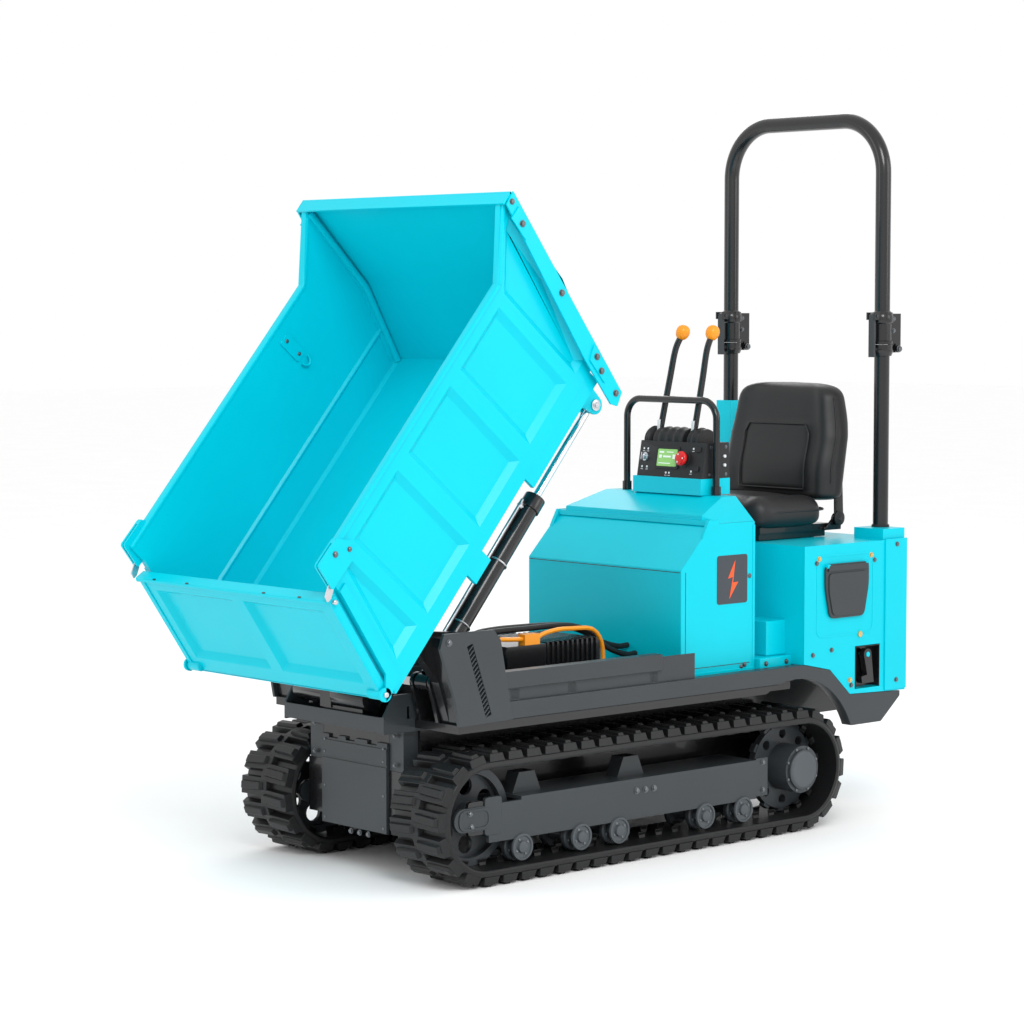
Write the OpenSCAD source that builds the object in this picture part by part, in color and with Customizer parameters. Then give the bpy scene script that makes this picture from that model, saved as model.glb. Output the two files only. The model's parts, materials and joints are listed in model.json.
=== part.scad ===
// Ride-on electric tracked mini dumper ("power wheelbarrow"): a tipping tray on rubber tracks,
// with a driver's seat behind a low hood and a folding roll hoop.
// Millimetres. +Z up, -Y forward (the tray end), +X to the driver's left.
// Everything is drawn in the rest pose, with the tray tipped; the tray itself is designed level
// and then turned about its tip pins.

/* [Tracks] */
// Middle of the machine to the middle of each track
track_x = 350; // [330:5:400]
// Width of each rubber track
track_w = 230; // [180:5:280]
// Radius of the belt's inner face round the end wheels
wheel_r = 145; // [130:5:160]
// Thickness of the belt without its lugs
belt_t = 22; // [16:1:28]
// Height of the ground lugs
lug_h = 28; // [18:1:34]
// Lug rows round each belt
lug_n = 52; // [40:2:60]
// Radius of the road rollers
roller_r = 45; // [38:1:48]

/* [Chassis] */
// Clear height between the belts and the chassis deck
deck_gap = 51; // [40:1:80]
// Half the width over the side rails
rail_x = 420; // [390:5:460]
// Thickness of a side rail
rail_t = 40; // [30:1:50]
// Height of the lower side rail
low_rail_h = 52; // [40:1:60]
// Height of the upper side rail
up_rail_h = 50; // [40:1:60]

/* [Tray] */
// Half the width over the tray walls
tray_x = 450; // [430:5:520]
// Length of the tray floor
tray_len = 1190; // [1000:10:1400]
// Height of the tray walls above the underside of the floor
tray_h = 435; // [360:5:500]
// Rise of the headboard above the side rims
head_rise = 138; // [80:2:200]
// Depth of the pressed side walls
wall_t = 20; // [16:1:26]
// Thickness of the sheet left at the bottom of each pressing
sheet_t = 4; // [3:0.5:6]
// Angle of the tipped tray
tip_angle = 50; // [35:1:55]

/* [Cylinders] */
// Radius of the cylinder barrels
barrel_r = 28; // [20:1:30]
// Radius of the chrome rods
rod_r = 12; // [8:1:14]
// Middle of the machine to each cylinder
cyl_x = 290; // [284:1:292]

/* [Hood] */
// Half the width of the hood
hood_x = 344; // [320:2:360]
// Height of the hood's top
hood_top = 1048; // [1000:4:1100]
// Length of the hood
hood_len = 325; // [300:5:400]

/* [Rear body and seat] */
// Length of the rear body
body_len = 485; // [460:5:560]
// Height of the rear body's top
body_top = 890; // [860:5:930]
// Half the width of the seat
seat_x = 232; // [200:2:250]
// Height of the backrest
back_h = 355; // [280:5:400]

/* [Roll hoop] */
// Middle of the machine to each post
post_x = 337; // [330:1:345]
// Radius of the hoop tube
post_r = 25; // [20:1:28]
// Height of the hoop's top
hoop_top = 2267; // [2100:5:2400]
// Height of the folding joint
fold_z = 1516; // [1450:2:1600]
// Bend radius of the hoop's corners
hoop_bend = 173; // [120:1:200]

/* [Hidden] */
$fn = 48;
fit = 0.05;        // radial clearance of a running fit
pin_r = 12;        // tip pins and cylinder base pins
gap = 1;           // clearance between pieces that only pass each other

// Running gear
wheel_z = wheel_r + belt_t + lug_h;
belt_top = 2 * wheel_z;
belt_in = track_x - track_w / 2;
belt_out = track_x + track_w / 2;
frame_x = belt_in - 12;
beam_in = track_x - 80;
beam_out = track_x + 80;

// Fore and aft chain: tip pins, tray, hood, rear body
tip_y = -820;
tray_front = tip_y - 220;
tray_rear = tray_front + tray_len;
hood_y = tray_rear + 98;
hood_rear = hood_y + hood_len;
body_y = hood_rear + 147;
body_rear = body_y + body_len;
idler_y = tip_y + 185;
sprocket_y = body_y - 35;
wheelbase = sprocket_y - idler_y;
frame_front = idler_y - 117;
post_y = body_rear - 31;
box_rear = body_y + 160;
floor_y0 = hood_y - 18;
floor_y1 = body_y - 6;

// Cells of the centre box
plate_t = 8;
cell_n = 7;
cell_y0 = frame_front + 80;
cell_pitch = (box_rear - cell_y0) / cell_n;
tail_pitch = (body_rear - 40 - box_rear - plate_t) / 2;

// Heights
deck_top = belt_top + deck_gap + 24;
deck_t = 24;
low_rail_top = deck_top + low_rail_h;
up_rail_z = low_rail_top + 36;
up_rail_top = up_rail_z + up_rail_h;
floor_z = up_rail_top + 139;
tip_z = floor_z - 27;
rim_z = floor_z + tray_h;
head_z = rim_z + head_rise;
tower_top = floor_z - 15;
hood_z = deck_top + 40;
lean = 13.5;       // lean of both ends of the tray from the vertical

// Tray details
tray_in = tray_x - wall_t;
rim_h = 12;
beam_x0 = 300;
beam_x1 = 334;
beam_d = 75;
gate_pin_y = tray_front - 2;
gate_pin_z = floor_z + 34;

// Tip cylinders: base pin, then where the rod pin is when the tray is tipped
base_y = tip_y + 98;
base_z = tip_z - 137;
rod_pin_y = tip_y + 736;
rod_pin_z = tip_z + 634;
cyl_angle = atan2(rod_pin_z - base_z, rod_pin_y - base_y);
cyl_len = norm([rod_pin_y - base_y, rod_pin_z - base_z]);
barrel_len = 655;

// Arch over the sprocket
arch_r = wheel_z + 86;

// Colours
cyan = [0.02, 0.78, 0.86];
dark_grey = [0.30, 0.34, 0.36];
black = [0.07, 0.07, 0.08];
rubber = [0.13, 0.13, 0.14];
steel = [0.75, 0.76, 0.78];
orange = [1.0, 0.58, 0.08];

// ---------------------------------------------------------------- helpers

// A box given by its limits
module block(x0, x1, y0, y1, z0, z1) {
    translate([x0, y0, z0]) cube([x1 - x0, y1 - y0, z1 - z0]);
}

// A round bar along X
module bar_along_x(r, x0, x1, y, z) {
    translate([x0, y, z]) rotate([0, 90, 0]) cylinder(r = r, h = x1 - x0);
}

// A flat outline drawn in Y and Z and given thickness along X
module side_plate(x0, x1) {
    translate([x0, 0, 0]) rotate([90, 0, 90]) linear_extrude(x1 - x0) union() children();
}

// The same piece on both sides of the machine
module both_sides() {
    children();
    mirror([1, 0, 0]) children();
}

// Turns a piece designed on the level tray into its tipped rest pose
module tipped() {
    translate([0, tip_y, tip_z]) rotate([tip_angle, 0, 0]) translate([0, -tip_y, -tip_z]) children();
}

// A round bar between two points
module rod_between(a, b, r) {
    d = b - a;
    translate(a) rotate([0, acos(d[2] / norm(d)), atan2(d[1], d[0])]) cylinder(r = r, h = norm(d));
}

// A swept tube through points p, as one closed skin with n sides
function unit(v) = v / norm(v);
function tangent(p, i) = unit(p[min(i + 1, len(p) - 1)] - p[max(i - 1, 0)]);
function side_of(t) = unit(cross(t, abs(t[0]) > 0.9 ? [0, 1, 0] : [1, 0, 0]));
function ring(p, i, r, n) = let (t = tangent(p, i), s = side_of(t), u = cross(t, s))
    [for (k = [0 : n - 1]) p[i] + r * (cos(360 * k / n) * s + sin(360 * k / n) * u)];
// Catmull-Rom points between the hand-placed ones
function spline_at(a, b, c, d, t) = 0.5 * (2 * b + (c - a) * t + (2 * a - 5 * b + 4 * c - d) * t * t
    + (3 * b - a - 3 * c + d) * t * t * t);
function smooth(p, m) = [for (i = [0 : len(p) - 2]) for (j = [0 : m - 1])
    spline_at(p[max(i - 1, 0)], p[i], p[i + 1], p[min(i + 2, len(p) - 1)], j / m), p[len(p) - 1]];
module tube(p, r, n = 8) {
    m = len(p);
    points = [for (i = [0 : m - 1]) each ring(p, i, r, n)];
    sides = [for (i = [0 : m - 2]) for (k = [0 : n - 1])
        [i * n + k, (i + 1) * n + k, (i + 1) * n + (k + 1) % n, i * n + (k + 1) % n]];
    first = [for (k = [0 : n - 1]) k];
    last = [for (k = [n - 1 : -1 : 0]) (m - 1) * n + k];
    polyhedron(points, concat(sides, [first], [last]));
}

// ---------------------------------------------------------------- chassis

module main_frame() color(black) {
    difference() {
        union() {
            // Centre box between the tracks
            block(-frame_x, frame_x, frame_front + 8, box_rear, 150, deck_top - deck_t);
            // Deck over the belts
            block(-rail_x, rail_x, tip_y + 105, body_y - 20, deck_top - deck_t, deck_top);
            // Floor plate under the hood and the driver's feet
            block(-rail_x + rail_t + 2, rail_x - rail_t - 2, floor_y0, floor_y1, deck_top, hood_z);
            // Tail beam under the rear body
            block(-frame_x, frame_x, box_rear, body_rear - 40, 320, deck_top - deck_t);
        }
        both_sides() {
            // Arch over the sprocket, at the deck's edge
            bar_along_x(arch_r, rail_x - rail_t, rail_x + 1, sprocket_y, wheel_z);
            // Seats of the front corner posts and of the side bracket plates
            block(151, frame_x + 1, frame_front, frame_front + 64, 310, deck_top + 1);
            block(221, 231, frame_front, frame_front + 138, deck_top - 36, deck_top + 1);
            // Cells between the ribs of the centre box, open below
            for (i = [0 : cell_n - 1]) let (y = cell_y0 + i * cell_pitch)
                block(plate_t / 2, frame_x - plate_t, y, y + cell_pitch - plate_t, 149,
                    y + cell_pitch < floor_y0 ? deck_top - plate_t : deck_top - deck_t);
            // Cells under the rear body
            for (y = [box_rear + plate_t, box_rear + plate_t + tail_pitch])
                block(plate_t / 2, frame_x - plate_t, y, y + tail_pitch - plate_t, 319,
                    deck_top - deck_t - plate_t);
            // Hollow of the floor plate
            block(plate_t / 2, frame_x - plate_t, floor_y0 + plate_t, floor_y1 - 20, deck_top - deck_t - 1,
                hood_z - plate_t);
        }
    }
    // Cross tubes to the track frames
    both_sides() for (y = [idler_y + 235, sprocket_y - 285])
        block(frame_x, beam_in, y - 40, y + 40, 130, 210);
    both_sides() {
        // Hinge towers behind the louvred covers
        side_plate(370, rail_x - 2)
            polygon([[tip_y + 115, deck_top], [tip_y + 270, deck_top], [tip_y + 222, tower_top - 12],
                [tip_y + 55, tower_top - 12], [tip_y + 45, tip_z - 25], [tip_y + 98, deck_top + 75]]);
        // Lugs with the tip pins
        side_plate(338, 370) {
            translate([tip_y, tip_z]) circle(r = 24);
            polygon([[tip_y - 18, tip_z - 16], [tip_y + 8, tip_z + 22], [tip_y + 222, tower_top - 12],
                [tip_y + 270, deck_top], [tip_y + 115, deck_top], [tip_y + 75, tip_z - 130]]);
        }
        bar_along_x(pin_r, 298, 338, tip_y, tip_z);
        // Base lugs of the tip cylinders
        for (x = [cyl_x - barrel_r - 16, cyl_x + barrel_r + 4]) difference() {
            side_plate(x, x + 12) {
                translate([base_y, base_z]) circle(r = 26);
                polygon([[base_y - 26, base_z], [base_y + 26, base_z], [base_y + 60, deck_top],
                    [base_y + 7, deck_top]]);
            }
            bar_along_x(pin_r + fit, x - 1, x + 13, base_y, base_z);
        }
    }
    // Bulkhead behind the pump
    block(-220, 220, tip_y + 110, tip_y + 230, deck_top, deck_top + 95);
}

module front_plates() color(dark_grey) {
    // Front plate in two sheets
    difference() {
        block(-150, 150, frame_front, frame_front + 8, 125, belt_top - 2);
        for (x = [-118, -40, 60]) block(x, x + 42, frame_front - 1, frame_front + 9, belt_top - 12, belt_top);
    }
    // Corner posts
    both_sides() block(152, 214, frame_front + 8, frame_front + 8 + 55, 311, belt_top + 44);
    // Cross channel
    difference() {
        block(-222, 222, frame_front - 78, frame_front - 2, belt_top + 44, belt_top + 52);
        for (x = [-190, 150]) block(x, x + 40, frame_front - 60, frame_front - 20, belt_top + 40, belt_top + 60);
    }
    block(-222, 222, frame_front - 78, frame_front - 70, belt_top + 52, belt_top + 88);
    // Side bracket plates
    both_sides() side_plate(222, 230) difference() {
        polygon([[frame_front - 78, 430], [frame_front + 137, 430], [frame_front + 137, 540],
            [frame_front - 40, 540], [frame_front - 78, 480]]);
        translate([frame_front + 8, 468]) square([14, 36]);
    }
    // Pin bosses on the side brackets
    both_sides() bar_along_x(14, 230, 238, frame_front + 86, 486);
}

module rail_outline() {
    difference() {
        polygon([[tip_y + 290, deck_top], [tip_y + 290, low_rail_top], [sprocket_y + 39, low_rail_top],
            [sprocket_y + 157, low_rail_top - 25], [sprocket_y + 253, deck_top - 59],
            [body_rear - 23, deck_top - 68], [body_rear - 23, deck_top - 84], [body_rear - 115, 305],
            [sprocket_y + 225, 305], [sprocket_y + 60, deck_top]]);
        translate([sprocket_y, wheel_z]) circle(r = arch_r);
    }
}

module side_rails() color(dark_grey) both_sides() {
    side_plate(rail_x - rail_t, rail_x) rail_outline();
    block(rail_x - rail_t, rail_x, tip_y + 264, hood_y - 153, up_rail_z, up_rail_top);
    // Stand-offs between the two rails
    for (y = [tip_y + 310, (tip_y + hood_y) / 2, hood_y - 200])
        block(rail_x - rail_t, rail_x - 12, y, y + 40, low_rail_top, up_rail_z);
}

module louvre_covers() color(dark_grey) both_sides() difference() {
    side_plate(rail_x, rail_x + 10)
        polygon([[tip_y + 44, tower_top + 3], [tip_y + 230, tower_top + 2], [tip_y + 257, tower_top - 29],
            [tip_y + 302, deck_top + 2], [tip_y + 100, deck_top - 2], [tip_y + 86, deck_top + 72],
            [tip_y + 30, tower_top - 38]]);
    // Slanted air slot
    translate([0, tip_y + 140, tip_z - 23]) rotate([18.9, 0, 0])
        block(rail_x - 1, rail_x + 11, -11, 11, -219, 0);
}

// ---------------------------------------------------------------- running gear

// The belt's centre line outline at radius r round both end wheels
module belt_outline(r) {
    translate([idler_y, wheel_z - r]) square([wheelbase, 2 * r]);
    for (y = [idler_y, sprocket_y]) translate([y, wheel_z]) circle(r = r, $fn = 96);
}

// Puts a lug on the belt's outer face at distance s along it
module on_belt(s) {
    r = wheel_r + belt_t;
    straight = wheelbase;
    bend = PI * r;
    if (s < straight) translate([0, idler_y + s, wheel_z + r]) children();
    else if (s < straight + bend)
        translate([0, sprocket_y, wheel_z]) rotate([-(s - straight) / r * 180 / PI, 0, 0])
            translate([0, 0, r]) children();
    else if (s < 2 * straight + bend)
        translate([0, sprocket_y - (s - straight - bend), wheel_z - r]) rotate([180, 0, 0]) children();
    else translate([0, idler_y, wheel_z]) rotate([-(s - 2 * straight) / r * 180 / PI, 0, 0])
        translate([0, 0, r]) children();
}

module rubber_track() {
    side_plate(belt_in, belt_out) difference() {
        belt_outline(wheel_r + belt_t);
        belt_outline(wheel_r);
    }
    path = 2 * wheelbase + 2 * PI * (wheel_r + belt_t);
    for (i = [0 : lug_n - 1]) on_belt(i * path / lug_n)
        block(belt_in + 6, belt_out - 6, -15, 15, -2, lug_h);
}

module rubber_track_left() color(rubber) rubber_track();
module rubber_track_right() color(rubber) mirror([1, 0, 0]) rubber_track();

roller_ys = [idler_y + 152, idler_y + 385, idler_y + 539, sprocket_y - 417, sprocket_y - 250];
roller_z = lug_h + belt_t + roller_r + 0.5;

module track_frames() color(dark_grey) both_sides() {
    // Channel: two side plates under a top plate
    for (x = [beam_in, beam_out - 12]) {
        block(x, x + 12, idler_y + 25, sprocket_y - 190, 122, 232);
        block(x, x + 12, idler_y - 70, idler_y + 25, wheel_z - 34, wheel_z + 34);
        bar_along_x(34, x, x + 12, idler_y - 70, wheel_z);
    }
    block(beam_in, beam_out, idler_y + 150, sprocket_y - 190, 232, 242);
    // Rear plate towards the drive motor
    block(beam_out - 12, beam_out - 2, sprocket_y - 190, sprocket_y - 138, 128, 246);
    // Bosses and axle of the idler
    for (x = [[beam_in + 12, track_x - 34], [track_x + 34, beam_out - 12]])
        bar_along_x(30, x[0], x[1], idler_y, wheel_z);
    bar_along_x(16, track_x - 34, track_x + 34, idler_y, wheel_z);
    // Tongues and axles of the rollers
    for (y = roller_ys) {
        for (x = [beam_in, beam_out - 8]) {
            block(x, x + 8, y - 14, y + 14, roller_z, 122);
            bar_along_x(14, x, x + 8, y, roller_z);
        }
        bar_along_x(10, beam_in + 8, beam_out - 8, y, roller_z);
    }
    // Humps under the belt's upper run
    for (y = [idler_y + 190, idler_y + 610]) side_plate(track_x - 25, track_x + 25)
        polygon([[y - 25, 242], [y, 300], [y + 60, 300], [y + 85, 242]]);
}

// A double-disc road roller on its own bush
module roller(y) {
    difference() {
        union() {
            bar_along_x(22, beam_in + 14, beam_out - 14, y, roller_z);
            for (x = [beam_in + 24, beam_out - 44]) bar_along_x(roller_r, x, x + 20, y, roller_z);
        }
        bar_along_x(10 + fit, beam_in + 1, beam_out - 1, y, roller_z);
    }
}
module roller_left_1() color(steel) roller(roller_ys[0]);
module roller_left_2() color(steel) roller(roller_ys[1]);
module roller_left_3() color(steel) roller(roller_ys[2]);
module roller_left_4() color(steel) roller(roller_ys[3]);
module roller_left_5() color(steel) roller(roller_ys[4]);
module roller_right_1() color(steel) mirror([1, 0, 0]) roller(roller_ys[0]);
module roller_right_2() color(steel) mirror([1, 0, 0]) roller(roller_ys[1]);
module roller_right_3() color(steel) mirror([1, 0, 0]) roller(roller_ys[2]);
module roller_right_4() color(steel) mirror([1, 0, 0]) roller(roller_ys[3]);
module roller_right_5() color(steel) mirror([1, 0, 0]) roller(roller_ys[4]);

// Spoked front wheel
module idler() difference() {
    union() {
        difference() {
            bar_along_x(wheel_r - gap, track_x - 28, track_x + 28, idler_y, wheel_z);
            bar_along_x(wheel_r - 24, track_x - 29, track_x - 6, idler_y, wheel_z);
            bar_along_x(wheel_r - 24, track_x + 6, track_x + 29, idler_y, wheel_z);
            for (a = [0 : 60 : 300]) translate([0, idler_y, wheel_z]) rotate([a, 0, 0])
                bar_along_x(26, track_x - 30, track_x + 30, 0, 84);
        }
        bar_along_x(40, track_x - 32, track_x + 32, idler_y, wheel_z);
    }
    bar_along_x(16 + fit, track_x - 40, track_x + 40, idler_y, wheel_z);
}
module idler_left() color(dark_grey) idler();
module idler_right() color(dark_grey) mirror([1, 0, 0]) idler();

// Toothed rear wheel with its hub drum
module sprocket() difference() {
    union() {
        difference() {
            bar_along_x(wheel_r - 13, track_x - 12, track_x + 12, sprocket_y, wheel_z);
            for (a = [0 : 45 : 315]) translate([0, sprocket_y, wheel_z]) rotate([a, 0, 0])
                bar_along_x(15, track_x - 13, track_x + 13, 0, 104);
        }
        for (a = [0 : 30 : 330]) translate([0, sprocket_y, wheel_z]) rotate([a, 0, 0])
            block(track_x - 10, track_x + 10, -13, 13, wheel_r - 30, wheel_r - 3);
        bar_along_x(74, track_x - 20, belt_out - 19, sprocket_y, wheel_z);
        bar_along_x(62, belt_out - 20, belt_out - 11, sprocket_y, wheel_z);
    }
    bar_along_x(30 + fit, track_x - 21, track_x + 40, sprocket_y, wheel_z);
}
module sprocket_left() color(dark_grey) sprocket();
module sprocket_right() color(dark_grey) mirror([1, 0, 0]) sprocket();

module travel_motors() color(black) both_sides() {
    bar_along_x(70, frame_x, track_x - 22, sprocket_y, wheel_z);
    bar_along_x(30, track_x - 22, track_x + 38, sprocket_y, wheel_z);
}

// ---------------------------------------------------------------- hood and console

// Closed outer form of the hood, shrunk by t on every side but the bottom
module hood_form(t) {
    ledge_z = hood_top - 50;
    side_plate(-hood_x + t, hood_x - t)
        polygon([[hood_y + t, hood_z - 1], [hood_y + t, hood_top - 210 - t], [hood_y + 133 + t, ledge_z - 24 - t],
            [hood_rear - t, ledge_z - 24 - t], [hood_rear - t, hood_z - 1]]);
    hull() {
        block(-hood_x + 38 + t, hood_x - 38 - t, hood_y + 128 + t, hood_rear - t, ledge_z - 40, ledge_z - t);
        block(-hood_x + t, hood_x - t, hood_y + 175 + t, hood_rear - t, ledge_z - 40, ledge_z - 26 - t);
        block(-hood_x + 83 + t, hood_x - 83 - t, hood_y + 263 + t, hood_rear - t, hood_top - 10 - t, hood_top - t);
    }
}
module hood() color(cyan) difference() {
    intersection() {
        hood_form(0);
        block(-hood_x, hood_x, hood_y, hood_rear, hood_z, hood_top);
    }
    hood_form(4);
}

plinth_x0 = -120;
plinth_x1 = 184;
plinth_h = 52;
plinth_y = hood_rear - 78;
console_z = hood_top + plinth_h;
console_rear = plinth_y + 133;
button_y = console_rear - 28;
button_zs = [69, 41];

module console_plinth() color(cyan)
    block(plinth_x0, plinth_x1, plinth_y, console_rear, hood_top, console_z);

console_h = 112;
face_angle = atan2(20, console_h);
module console_housing() color(black) {
    difference() {
        side_plate(plinth_x0 + 14, plinth_x1)
            polygon([[plinth_y + 5, console_z], [plinth_y + 25, console_z + console_h],
                [console_rear - 6, console_z + console_h], [console_rear - 6, console_z]]);
        // Bores of the buttons
        on_face(96, 60) translate([0, 0, -30]) cylinder(r = 9.5, h = 31);
        for (z = button_zs) bar_along_x(5.5, plinth_x1 - 12, plinth_x1 + 1, button_y, console_z + z);
        // Slots of the levers
        for (x = lever_xs) block(x - 9, x + 9, lever_y - 40, lever_y + 40, lever_z - 20, lever_z + 40);
    }
    // Shaft the levers turn on
    for (x = lever_xs) bar_along_x(7, x - 10, x + 10, lever_y, lever_z);
}
// Places a piece on the sloping face: x across, s up the face, pointing out of it
module on_face(x, s) translate([x, plinth_y + 5, console_z]) rotate([-face_angle, 0, 0]) translate([0, 0, s])
    rotate([90, 0, 0]) children();

module display_screen() color([0.75, 0.9, 0.5]) on_face(22, 62) translate([-43, -28, 0]) cube([86, 54, 3]);

module stop_button() color([0.9, 0.05, 0.03]) on_face(96, 60) {
    translate([0, 0, -22]) cylinder(r = 9, h = 30);
    translate([0, 0, 8]) cylinder(r = 24, h = 9);
    translate([0, 0, 17]) cylinder(r1 = 24, r2 = 20, h = 7);
}
module push_button(z) bar_along_x(5, plinth_x1 - 8, plinth_x1 + 5, button_y, console_z + z);
module push_button_upper() color([0.9, 0.9, 0.9]) push_button(button_zs[0]);
module push_button_lower() color([0.9, 0.9, 0.9]) push_button(button_zs[1]);

lever_xs = [83, -69];
lever_y = console_rear - 62;
lever_z = console_z + console_h - 22;
boot_r = 46;

module lever_boots() color(black) difference() {
    intersection() {
        bar_along_x(boot_r, plinth_x0 + 22, plinth_x1 - 40, lever_y, console_z + console_h);
        block(plinth_x0, plinth_x1, lever_y - 50, lever_y + 50, console_z + console_h, console_z + 170);
    }
    for (x = lever_xs) block(x - 10, x + 10, lever_y - 50, lever_y + 50, console_z, console_z + 200);
}

// A lever: flat steel foot, bent black rod and a rounded grip; lean_x is the rod's sideways step
module control_lever(x, lean_x) {
    foot = [x, lever_y, lever_z];
    knee = [x + lean_x * 0.2, lever_y + 12, lever_z + 190];
    neck = [x + lean_x * 0.8, lever_y + 46, lever_z + 322];
    tip = [x + lean_x, lever_y + 58, lever_z + 368];
    difference() {
        union() {
            side_plate(x - 5, x + 5) union() {
                translate([lever_y, lever_z]) circle(r = 16);
                polygon([[lever_y - 12, lever_z], [lever_y + 12, lever_z], [lever_y + 14, lever_z + 90],
                    [lever_y - 6, lever_z + 90]]);
            }
            rod_between(foot + [0, 4, 60], knee, 8);
        }
        bar_along_x(7 + fit, x - 10, x + 10, lever_y, lever_z);
    }
    translate(knee) sphere(r = 9);
    rod_between(knee, neck, 8);
    translate(neck) sphere(r = 9);
    rod_between(neck, tip, 8);
    translate(tip) sphere(r = 22);
}
module control_lever_left() color(orange) control_lever(lever_xs[0], 25);
module control_lever_right() color(orange) control_lever(lever_xs[1], 45);

guard_x = 200;
guard_top = hood_top + 296;
guard_y = hood_rear - 25;
guard_r = 11;
guard_bend = 60;

// A hoop of tube: two legs at +-x from z0, joined by a top bar at z1, bent at radius bend
module hoop_tube(x, y, z0, z1, r, bend) {
    both_sides() {
        translate([x, y, z0]) cylinder(r = r, h = z1 - bend - z0);
        translate([x - bend, y, z1 - bend]) rotate([90, 0, 0])
            rotate_extrude(angle = 90) translate([bend, 0]) circle(r = r);
    }
    bar_along_x(r, -x + bend, x - bend, y, z1);
}
module guard_bar() color(black) {
    hoop_tube(guard_x, guard_y, hood_top + 2, guard_top, guard_r, guard_bend);
    both_sides() translate([guard_x, guard_y, hood_top]) cylinder(r = 15, h = 28);
}

// ---------------------------------------------------------------- rear body

cap_y = post_y - 74;
cap_top = body_top + 35;

module seat_box() color(cyan) {
    // Front, top and rear sheets
    block(-rail_x + 7, rail_x - 7, body_y, body_y + 6, low_rail_top, body_top - 6);
    block(-rail_x + 7, rail_x - 7, body_y, body_rear, body_top - 6, body_top);
    block(-rail_x + 46, rail_x - 46, body_rear - 6, body_rear, deck_top - 68, body_top - 6);
    // Floor of the box
    block(-rail_x + 46, rail_x - 46, body_y + 6, body_rear - 6, low_rail_top, low_rail_top + 4);
    // Raised caps round the posts
    both_sides() difference() {
        block(post_x - 48, rail_x - 7, cap_y, body_rear, body_top, cap_top);
        translate([post_x, post_y, body_top]) cylinder(r = post_r + 0.5, h = 60);
    }
    // Square sleeve round the far post
    difference() {
        block(-post_x - 34, -post_x + 34, post_y - 34, post_y + 31, cap_top, cap_top + 395);
        translate([-post_x, post_y, body_top]) cylinder(r = post_r + 0.5, h = 500);
    }
}

flap_y = body_y + 89;
flap_w = 205;
flap_z = body_top - 56;
flap_h = 178;

module rear_covers() color(cyan) {
    difference() {
        both_sides() side_plate(rail_x - 6, rail_x)
            polygon([[body_y, low_rail_top + gap], [sprocket_y + 39, low_rail_top + gap],
                [sprocket_y + 157, low_rail_top - 25 + gap], [sprocket_y + 253, deck_top - 59 + gap],
                [body_rear, deck_top - 68 + gap], [body_rear, body_top], [body_y, body_top]]);
        // Opening for the tow hook
        block(rail_x - 7, rail_x + 1, hook_y - hook_room, hook_y + hook_room, deck_top - 45, hook_z + 30);
    }
    // Rear corner pillars
    both_sides() block(rail_x, rail_x + 5, body_rear - 104, body_rear, deck_top - 60, cap_top - 32);
    // Box and pin behind the hook's opening
    difference() {
        block(rail_x - 36, rail_x - 6, hook_y - hook_room - 5, hook_y + hook_room + 5, deck_top - 48,
            hook_z + 35);
        block(rail_x - 31, rail_x, hook_y - hook_room, hook_y + hook_room, deck_top - 45, hook_z + 30);
    }
    bar_along_x(8, rail_x - 32, rail_x + 4, hook_y, hook_z);
    // Knuckles and pin of the charging flap
    for (y = [flap_y + 3, flap_y + flap_w - 17]) {
        bar_along_y(7, y, y + 14, flap_pin_x, flap_pin_z);
        block(rail_x, flap_pin_x, y, y + 14, flap_pin_z - 7, flap_pin_z + 7);
    }
    bar_along_y(3, flap_y + 10, flap_y + flap_w - 10, flap_pin_x, flap_pin_z);
}

flap_pin_x = rail_x + 9;
flap_pin_z = flap_z - 12;
module charging_flap() color(dark_grey) difference() {
    union() {
        side_plate(rail_x + 1, rail_x + 8) polygon([[flap_y, flap_z - 22], [flap_y + flap_w, flap_z - 22],
            [flap_y + flap_w, flap_z - flap_h + 40], [flap_y + flap_w - 45, flap_z - flap_h],
            [flap_y + 40, flap_z - flap_h], [flap_y, flap_z - flap_h + 30]]);
        bar_along_y(7, flap_y + 19, flap_y + flap_w - 19, flap_pin_x, flap_pin_z);
        block(rail_x + 2.5, rail_x + 8, flap_y + 19, flap_y + flap_w - 19, flap_z - 24, flap_pin_z);
    }
    bar_along_y(3 + fit, flap_y, flap_y + flap_w, flap_pin_x, flap_pin_z);
}
module bar_along_y(r, y0, y1, x, z) translate([x, y0, z]) rotate([-90, 0, 0]) cylinder(r = r, h = y1 - y0);

hook_y = body_rear - 185;
hook_z = deck_top + 63;
hook_room = 60;    // half the opening in which the hook swings
module tow_hook() color(black) difference() {
    side_plate(rail_x - 20, rail_x + 2) {
        translate([hook_y, hook_z]) circle(r = 18);
        polygon([[hook_y - 18, hook_z], [hook_y + 18, hook_z], [hook_y + 30, hook_z - 92],
            [hook_y - 26, hook_z - 92], [hook_y - 30, hook_z - 70], [hook_y - 2, hook_z - 66]]);
    }
    bar_along_x(8 + fit, rail_x - 30, rail_x + 10, hook_y, hook_z);
}

module rops_posts() color(black) both_sides() {
    translate([post_x, post_y, body_top]) cylinder(r = post_r, h = fold_z - body_top);
    difference() {
        union() {
            translate([post_x, post_y, fold_z - 26]) cylinder(r = post_r + 9, h = 26);
            block(post_x - 8, post_x + 8, post_y + 20, fold_pin_y, fold_z - 26, fold_z - 2);
            bar_along_x(12, post_x - 8, post_x + 8, fold_pin_y, fold_z - 14);
        }
        bar_along_x(6 + fit, post_x - 10, post_x + 10, fold_pin_y, fold_z - 14);
    }
    // Catch beside the toggle latch
    block(post_x - 10, post_x + 10, post_y - post_r - 17, post_y - post_r - 7, fold_z - 22, fold_z - 10);
}

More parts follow.
